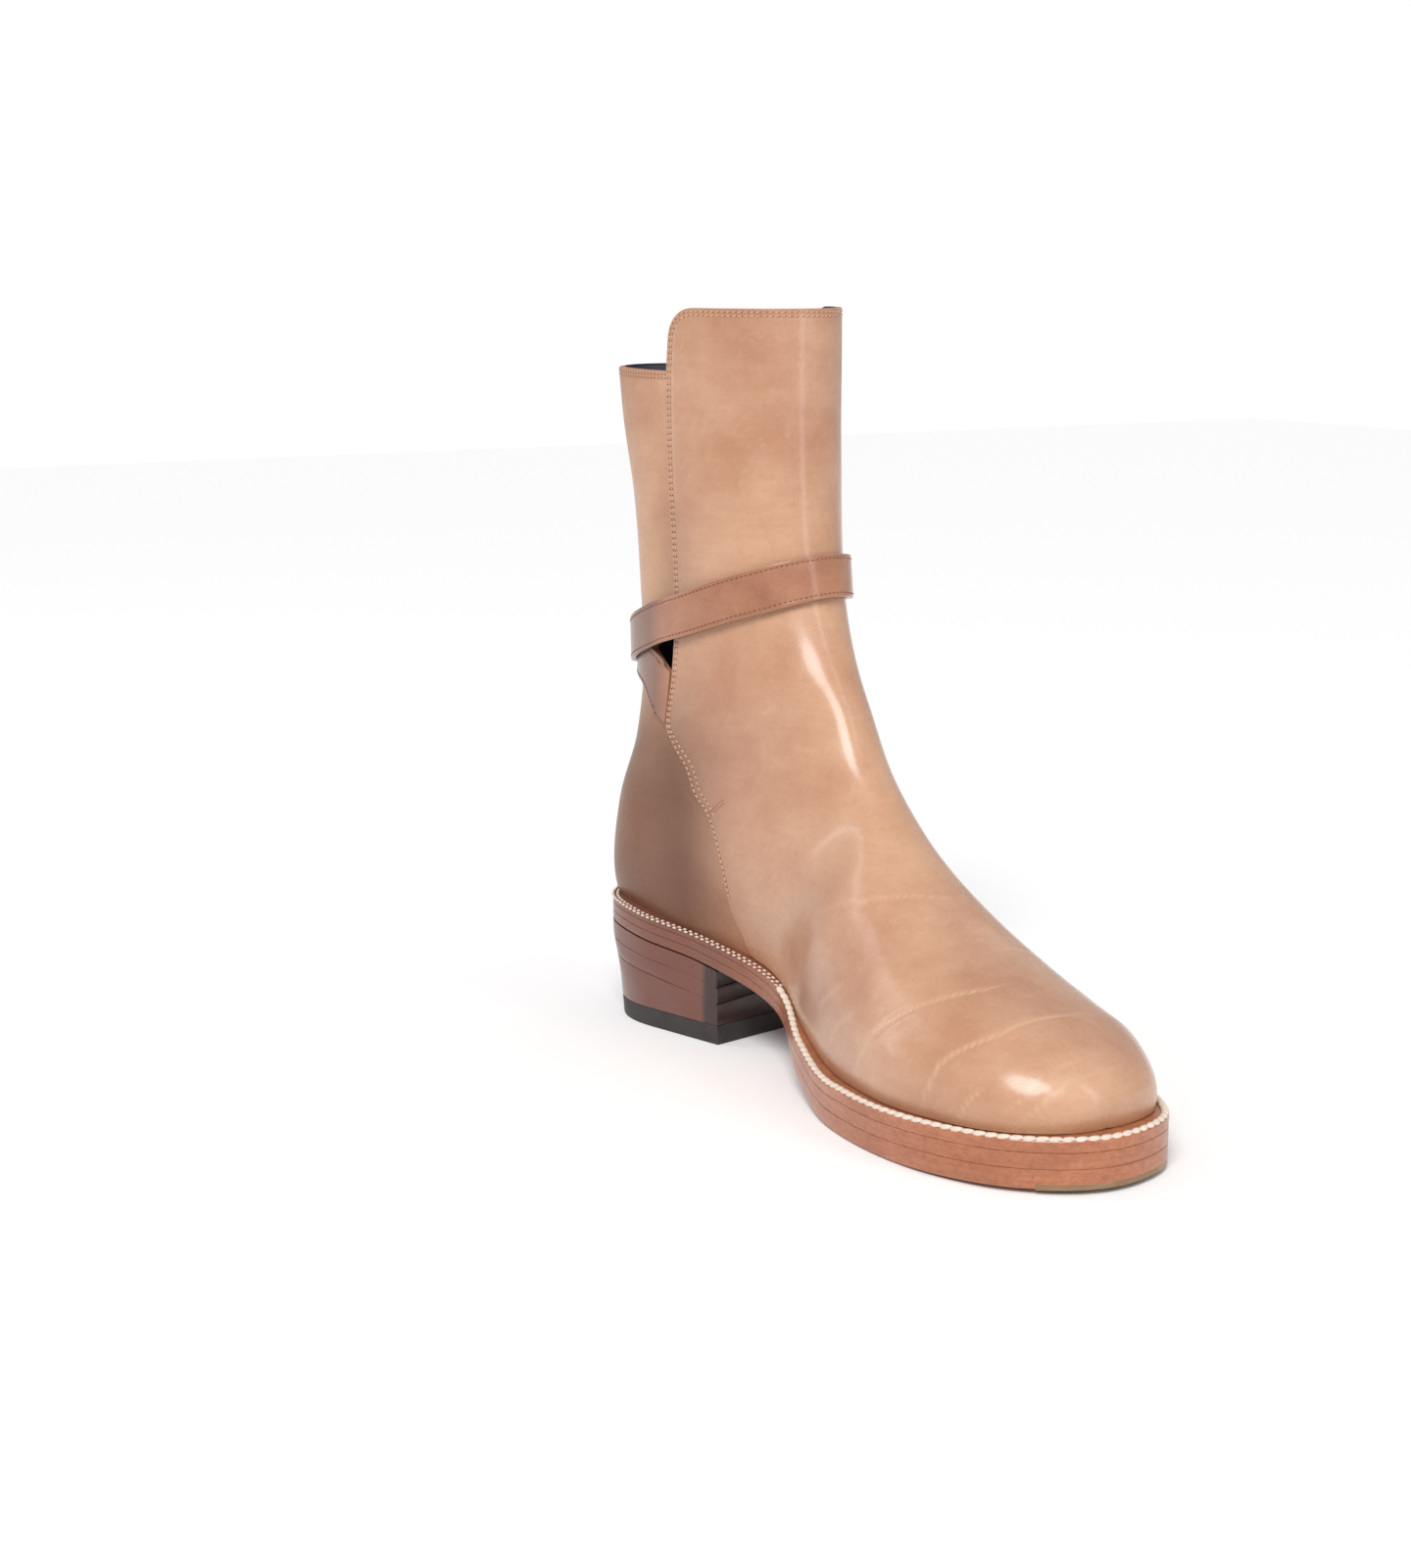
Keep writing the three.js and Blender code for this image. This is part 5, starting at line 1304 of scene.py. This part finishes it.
def stitch_tree():
    """Geometry Nodes: a thread stitch at every pitch along a seam, lying on the leather."""
    tree = bpy.data.node_groups.new("Stitches along a seam", "GeometryNodeTree")
    face = tree.interface
    face.new_socket("Seam", in_out="INPUT", socket_type="NodeSocketGeometry")
    for name, value in (("Pitch", 0.0024), ("Stitch length", 0.002), ("Thread width", 0.0006),
                        ("Thread height", 0.0004), ("Slant", 0.0), ("Wander", 0.06)):
        face.new_socket(name, in_out="INPUT", socket_type="NodeSocketFloat").default_value = value
    face.new_socket("Thread", in_out="INPUT", socket_type="NodeSocketMaterial")
    face.new_socket("Stitches", in_out="OUTPUT", socket_type="NodeSocketGeometry")
    nodes, links = tree.nodes, tree.links

    def node(kind, **settings):
        made = nodes.new(kind)
        for key, value in settings.items():
            setattr(made, key, value)
        return made

    given, result = node("NodeGroupInput"), node("NodeGroupOutput")
    curve = node("GeometryNodeMeshToCurve")
    resample = node("GeometryNodeResampleCurve", mode="LENGTH")
    tangent = node("GeometryNodeInputTangent")
    out = node("GeometryNodeInputNamedAttribute", data_type="FLOAT_VECTOR")
    out.inputs["Name"].default_value = "out"
    along = node("FunctionNodeAlignRotationToVector", axis="X")
    upright = node("FunctionNodeAlignRotationToVector", axis="Z", pivot_axis="X")
    wander = node("FunctionNodeRandomValue", data_type="FLOAT_VECTOR")   # its seed stays 0
    spread_low = node("ShaderNodeCombineXYZ")
    spread_high = node("ShaderNodeCombineXYZ")
    less = node("ShaderNodeMath", operation="MULTIPLY")
    less.inputs[1].default_value = -1
    low_slant = node("ShaderNodeMath", operation="ADD")
    high_slant = node("ShaderNodeMath", operation="ADD")
    turn = node("FunctionNodeEulerToRotation")
    rotate = node("FunctionNodeRotateRotation", rotation_space="LOCAL")
    ball = node("GeometryNodeMeshUVSphere")
    ball.inputs["Segments"].default_value, ball.inputs["Rings"].default_value = 8, 5
    ball.inputs["Radius"].default_value = 0.5
    size = node("ShaderNodeCombineXYZ")
    shape = node("GeometryNodeTransform")
    lay = node("GeometryNodeInstanceOnPoints")
    real = node("GeometryNodeRealizeInstances")
    soft = node("GeometryNodeSetShadeSmooth")
    paint = node("GeometryNodeSetMaterial")
    for a, b in (
            (given.outputs["Seam"], curve.inputs["Mesh"]),
            (curve.outputs["Curve"], resample.inputs["Curve"]),
            (given.outputs["Pitch"], resample.inputs["Length"]),
            (tangent.outputs["Tangent"], along.inputs["Vector"]),
            (along.outputs["Rotation"], upright.inputs["Rotation"]),
            (out.outputs["Attribute"], upright.inputs["Vector"]),
            (given.outputs["Wander"], less.inputs[0]),
            (less.outputs[0], low_slant.inputs[0]), (given.outputs["Slant"], low_slant.inputs[1]),
            (given.outputs["Wander"], high_slant.inputs[0]), (given.outputs["Slant"], high_slant.inputs[1]),
            (low_slant.outputs[0], spread_low.inputs["Z"]),
            (high_slant.outputs[0], spread_high.inputs["Z"]),
            (spread_low.outputs[0], wander.inputs["Min"]), (spread_high.outputs[0], wander.inputs["Max"]),
            (wander.outputs["Value"], turn.inputs["Euler"]),
            (upright.outputs["Rotation"], rotate.inputs["Rotation"]),
            (turn.outputs["Rotation"], rotate.inputs["Rotate By"]),
            (given.outputs["Stitch length"], size.inputs["X"]),
            (given.outputs["Thread width"], size.inputs["Y"]),
            (given.outputs["Thread height"], size.inputs["Z"]),
            (ball.outputs["Mesh"], shape.inputs["Geometry"]), (size.outputs[0], shape.inputs["Scale"]),
            (resample.outputs["Curve"], lay.inputs["Points"]),
            (shape.outputs["Geometry"], lay.inputs["Instance"]),
            (rotate.outputs["Rotation"], lay.inputs["Rotation"]),
            (lay.outputs["Instances"], real.inputs["Geometry"]),
            (real.outputs["Geometry"], soft.inputs["Geometry"]),
            (soft.outputs["Geometry"], paint.inputs["Geometry"]),
            (given.outputs["Thread"], paint.inputs["Material"]),
            (paint.outputs["Geometry"], result.inputs["Stitches"])):
        links.new(a, b)
    return tree


STITCHES = stitch_tree()


def stitch(name, lines, thread, slot, **sizes):
    """Stitches along lines, each given as points and outward directions in millimetres."""
    mesh = bpy.data.meshes.new(name)
    points, edges, outs = [], [], []
    for line, out in lines:
        start = len(points)
        points += to_row(line).tolist()
        outs += np.asarray(out).tolist()
        edges += [(start + k, start + k + 1) for k in range(len(line) - 1)]
    mesh.from_pydata(points, edges, [])
    layer = mesh.attributes.new("out", "FLOAT_VECTOR", "POINT")
    layer.data.foreach_set("vector", np.ravel(outs).astype(np.float32))
    piece = add_object(name, mesh)
    sewing = piece.modifiers.new("Sewing", "NODES")
    sewing.node_group = STITCHES
    given = {s.name: s.identifier for s in STITCHES.interface.items_tree if s.in_out == "INPUT"}
    for key, value in sizes.items():
        unit = 1 if key in ("slant", "wander") else 0.001
        sewing[given[key.replace("_", " ").capitalize()]] = value * unit
    sewing[given["Thread"]] = thread
    settle(piece)
    finish_piece(piece, slot)


def resampled(points, outs, step=0.8, skip=0.0):
    """A seam at equal steps, with its first part left off."""
    run = run_along(points)
    steps = np.arange(skip, run[-1], step)
    return sampled(points, run, steps), sampled(outs, run, steps)


def seam_on_form(places, angles, lift):
    """Points and outward directions of a seam that stands off the last."""
    normal = form_normal(places, angles)
    return form_point(places, angles) + normal * lift, normal


def panel_seam(inset, start_up, below):
    """Line on the front panel inside its edge: up one side, over the top and down the other.
    Low down it stands off the edge by another inset."""
    edge = even_line(panel_edge(), 320)
    run = np.gradient(edge, axis=0)
    run /= np.linalg.norm(run, axis=1)[:, None]
    away = mix(below, inset, np.clip((edge[:, 1] - 110) / 10, 0, 1))
    edge = edge + np.stack([-run[:, 1], run[:, 0]], 1) * away[:, None]
    edge = edge[(edge[:, 1] > start_up * BOOT_HEIGHT)][::-1]
    place, angle = side_spot(edge[:, 0], edge[:, 1])
    across = np.linspace(angle[-1], math.pi - angle[-1], 160)[1:-1]
    top = find_place(across, lambda p: p[..., 2] - (BOOT_HEIGHT - inset))
    return seam_on_form(np.concatenate([place, top, place[::-1]]),
                        np.concatenate([angle, across, math.pi - angle[::-1]]), LAP / 2)


TACK_X, TACK_Z, TACK_ACROSS = (83.3, 90.7), (91.0, 96.7), (-0.61, 0.79)


def bar_tack(across, mirrored):
    """Short row across the seam's end, over the ankle bone, moved by so much across itself."""
    x, z = (np.linspace(*ends, 24) + across * way for ends, way in zip((TACK_X, TACK_Z), TACK_ACROSS))
    place, angle = side_spot(x, z)
    return seam_on_form(place, math.pi - angle if mirrored else angle, LAP / 2)


def collar_seam(inset):
    """Line below the back panel's top edge, round the back."""
    start = side_spot(EDGE_X - 1.0, BACK_TOP - inset)[1].item()
    angle = np.linspace(start, 3 * math.pi - start, 200)
    return seam_on_form(find_place(angle, lambda p: p[..., 2] - (BACK_TOP - inset)), angle, -LAP / 2)


def strap_seam(path, side, trim_end, inset=1.5, trim_start=12):
    """Line along a strap's edge, side 1 above and -1 below, sunk a little in its outer face."""
    turn = path.turn_of(np.linspace(trim_start, path.length - trim_end, 420))
    across = side * (STRAP_WIDTH / 2 - inset)
    line, above = (path.at(turn, across, STRAP_THICKNESS - 0.06 + lift) for lift in (0, 1))
    return line, above - line


WELT_CHANGE = 118.0     # X at which the coarse stitches of the forefoot start


def welt_seam(inset, lift, front):
    """Line of stitches on the welt: round the forefoot, or round the heel and the waist."""
    loop = sole_loop(lambda x: inset + 0 * x, lambda x: welt_top(x) + lift)
    loop = np.roll(loop, 0 if front else STATIONS, 0)
    loop = loop[(loop[:, 0] > WELT_CHANGE) == front]
    return loop, np.tile([0.0, 0.0, 1.0], (len(loop), 1))


# A punched hole from its raised lip inwards: radius, height on the strap
HOLE_RINGS, HOLE_POINTS = ((0.95, 0.085), (0.75, 0.13), (0.55, 0.06), (0.5, 0.04)), 14


def strap_holes(path, distances):
    """Punched holes in the strap, at distances in front of the buckle's centre bar. The two inner
    rows of each and its bottom are dark: painted shade for the depth of the hole."""
    run = np.arange(path.length)
    bar = np.interp(360 - BUCKLE_TURN, -path.turn_of(run), run)
    spin = np.linspace(0, 2 * math.pi, HOLE_POINTS, endpoint=False)
    points, faces, numbers = [], [], []
    for distance in distances:
        start = HOLE_POINTS * len(points)
        for radius, lift in HOLE_RINGS:
            points.append(path.at(path.turn_of(bar - distance + radius * np.cos(spin)),
                                  radius * np.sin(spin), STRAP_THICKNESS + lift))
        faces += grid_faces(len(HOLE_RINGS), HOLE_POINTS, closed=True, start=start)
        faces.append([start + (len(HOLE_RINGS) - 1) * HOLE_POINTS + k for k in range(HOLE_POINTS)])
        numbers += [0] * 2 * HOLE_POINTS + [1] * (HOLE_POINTS + 1)
    return make_piece("strap_holes", np.vstack(points), faces, [strap_leather, hole_shade],
                      turn_out=False, numbers=numbers, shade=60)


# ---- The boot ----

long_path, short_path = StrapPath(LONG_STRAP), StrapPath(SHORT_STRAP)
finish_piece(make_front_panel(), "upper_leather", "upper")
finish_piece(make_back_panel(), "upper_leather", "upper")
finish_piece(make_strap("ankle_strap_long", long_path, 460, 9.0), "strap_leather", "strap_long")
finish_piece(make_strap("ankle_strap_short", short_path, 190, 0.0), "strap_leather", "strap_short")
for piece, node in zip(make_buckle(), ("buckle_frame", "buckle_prong")):
    finish_piece(piece, "buckle_brass", node)
for piece, node in zip(make_sole(), ("outsole", "midsole", "welt")):
    finish_piece(piece, "sole_leather", node)
lifts, rubber_lift = make_heel()
for number, piece in enumerate(lifts, 1):
    finish_piece(piece, "heel_leather", f"heel_lift_{number}")
finish_piece(rubber_lift, "lift_rubber", "top_lift")
finish_piece(make_toe_plate(), "plate_brass", "toe_plate")
finish_piece(make_insole(), "insole_leather", "insole")

# Stitches, and dark marks of painted shade for the needle holes between them, sizes in millimetres
SEAM = dict(pitch=2.3, stitch_length=1.9, thread_width=0.6, thread_height=0.5, slant=0.22, wander=0.05)
PRICK = dict(pitch=2.3, stitch_length=0.55, thread_width=0.5, thread_height=0.3, wander=0.0)
TACK = dict(pitch=1.5, stitch_length=0.95, thread_width=0.6, thread_height=0.4, wander=0.08)
STRAP_SEAM = dict(pitch=2.0, stitch_length=1.3, thread_width=0.42, thread_height=0.4, wander=0.05)
STRAP_PRICK = dict(pitch=2.0, stitch_length=0.7, thread_width=0.62, thread_height=0.34, wander=0.0)
WELT_SEAM = dict(pitch=4.2, stitch_length=5.7, thread_width=2.7, thread_height=2.2, slant=0.16,
                 wander=0.06)
HEEL_SEAM = dict(pitch=2.8, stitch_length=1.7, thread_width=1.1, thread_height=0.9, slant=0.5,
                 wander=0.1)
rows = [panel_seam(SEAM_ROWS[0], 0.214, SEAM_ROWS[0]), panel_seam(SEAM_ROWS[1], 0.325, 4.1)]
rows += [collar_seam(inset) for inset in SEAM_ROWS]
tacks = [bar_tack(across, mirrored) for across in (0, 1.4) for mirrored in (False, True)]
strap_rows = [strap_seam(path, side, end) for path, end in ((long_path, 5), (short_path, 3))
              for side in (-1, 1)]
heel_rows = [welt_seam(inset, -0.2, False) for inset in (1.5, 3.3)]
stitch("panel_stitches", [resampled(*row) for row in rows], tan_thread, "upper_leather", **SEAM)
stitch("panel_needle_holes", [resampled(*row, skip=1.15) for row in rows], hole_shade, "upper_leather",
       **PRICK)
stitch("bar_tacks", [resampled(*row, step=0.4) for row in tacks], brown_thread, "upper_leather", **TACK)
stitch("strap_stitches", [resampled(*row) for row in strap_rows], brown_thread, "strap_leather",
       **STRAP_SEAM)
stitch("strap_needle_holes", [resampled(*row, skip=1.0) for row in strap_rows], hole_shade,
       "strap_leather", **STRAP_PRICK)
stitch("welt_stitches", [resampled(*welt_seam(1.55, 0.0, True))], cream_thread, "sole_leather",
       **WELT_SEAM)
stitch("heel_welt_stitches", [resampled(*row) for row in heel_rows], cream_thread, "sole_leather",
       **HEEL_SEAM)
finish_piece(strap_holes(long_path, (-2.0, 9.0, 14.5, 20.0, 25.5)), "strap_leather")

# ---- Camera, light and floor ----

# The photo's view: direction from the toe round to the inner side and up, distance and focal length,
# and the picture's place of a point on the boot
AZIMUTH, ELEVATION, DISTANCE = math.radians(58.62), math.radians(10.64), 1.05674
FRAME_WIDTH, FRAME_HEIGHT, FOCAL_PIXELS, SENSOR = 1440, 1600, 2899.5, 36.0
PIVOT, PIVOT_PIXEL = Vector((0.080, 0.0, 0.110)), (837.29, 791.15)


def turned_to(way):
    """Rotation of a camera or a lamp that looks against the way."""
    return Vector(way).to_track_quat("Z", "Y").to_euler()


def make_camera():
    level = math.cos(ELEVATION)
    back = Vector((math.sin(AZIMUTH) * level, -math.cos(AZIMUTH) * level, math.sin(ELEVATION)))
    right = Vector((math.cos(AZIMUTH), math.sin(AZIMUTH), 0))
    pixel = DISTANCE / FOCAL_PIXELS
    data = bpy.data.cameras.new("photo_view")
    data.sensor_fit, data.sensor_width, data.sensor_height = "AUTO", SENSOR, SENSOR
    data.lens = FOCAL_PIXELS / FRAME_HEIGHT * SENSOR
    data.clip_start, data.clip_end = 0.05, 20
    camera = add_object("photo_view", data)
    camera.location = (PIVOT + back * DISTANCE - right * ((PIVOT_PIXEL[0] - FRAME_WIDTH / 2) * pixel)
                       + back.cross(right) * ((PIVOT_PIXEL[1] - FRAME_HEIGHT / 2) * pixel))
    camera.rotation_euler = turned_to(back)
    bpy.context.scene.camera = camera


def make_floor(size=3.0):
    corners = [(-size, -size, 0), (size, -size, 0), (size, size, 0), (-size, size, 0)]
    mesh = bpy.data.meshes.new("studio_floor")
    mesh.from_pydata(corners, [], [(0, 1, 2, 3)])
    paper = Finish("studio_paper", (0.95, 0.95, 0.95), roughness=0.9, specular=0.1)
    paper.bump(paper.noise(400, 2), 0.00002, 0.2)
    mesh.materials.append(paper.material)
    add_object("studio_floor", mesh)


def soft_light(name, place, aim, size, power):
    data = bpy.data.lights.new(name, "AREA")
    data.shape, data.size, data.size_y, data.energy = "RECTANGLE", *size, power
    lamp = add_object(name, data)
    lamp.location = place
    lamp.rotation_euler = turned_to(Vector(place) - Vector(aim))


def sun_light(name, way, power, width):
    data = bpy.data.lights.new(name, "SUN")
    data.energy, data.angle = power, math.radians(width)
    add_object(name, data).rotation_euler = turned_to(way)


def make_sky(on_boot, seen):
    """White all round, with one strength for the light that it gives and one for what is seen."""
    world = bpy.data.worlds.new("studio")
    world.use_nodes = True
    nodes, links = world.node_tree.nodes, world.node_tree.links
    nodes["Background"].inputs["Color"].default_value = (1, 1, 1, 1)
    path, level = nodes.new("ShaderNodeLightPath"), nodes.new("ShaderNodeMapRange")
    level.inputs["To Min"].default_value, level.inputs["To Max"].default_value = on_boot, seen
    links.new(path.outputs["Is Camera Ray"], level.inputs["Value"])
    links.new(level.outputs["Result"], nodes["Background"].inputs["Strength"])
    bpy.context.scene.world = world


make_camera()
make_floor()
soft_light("tall_window", (1.45, 0.42, 0.75), (0.10, 0, 0.12), (0.2, 1.5), 4.0)
soft_light("side_window", (-0.86, -0.96, 0.68), (0.12, 0, 0.10), (0.1, 1.25), 2.3)
sun_light("broad_key", (0.68, -0.66, 1.0), 2.3, 28)
make_sky(0.5, 1.05)
bpy.context.scene.view_settings.view_transform = "Standard"
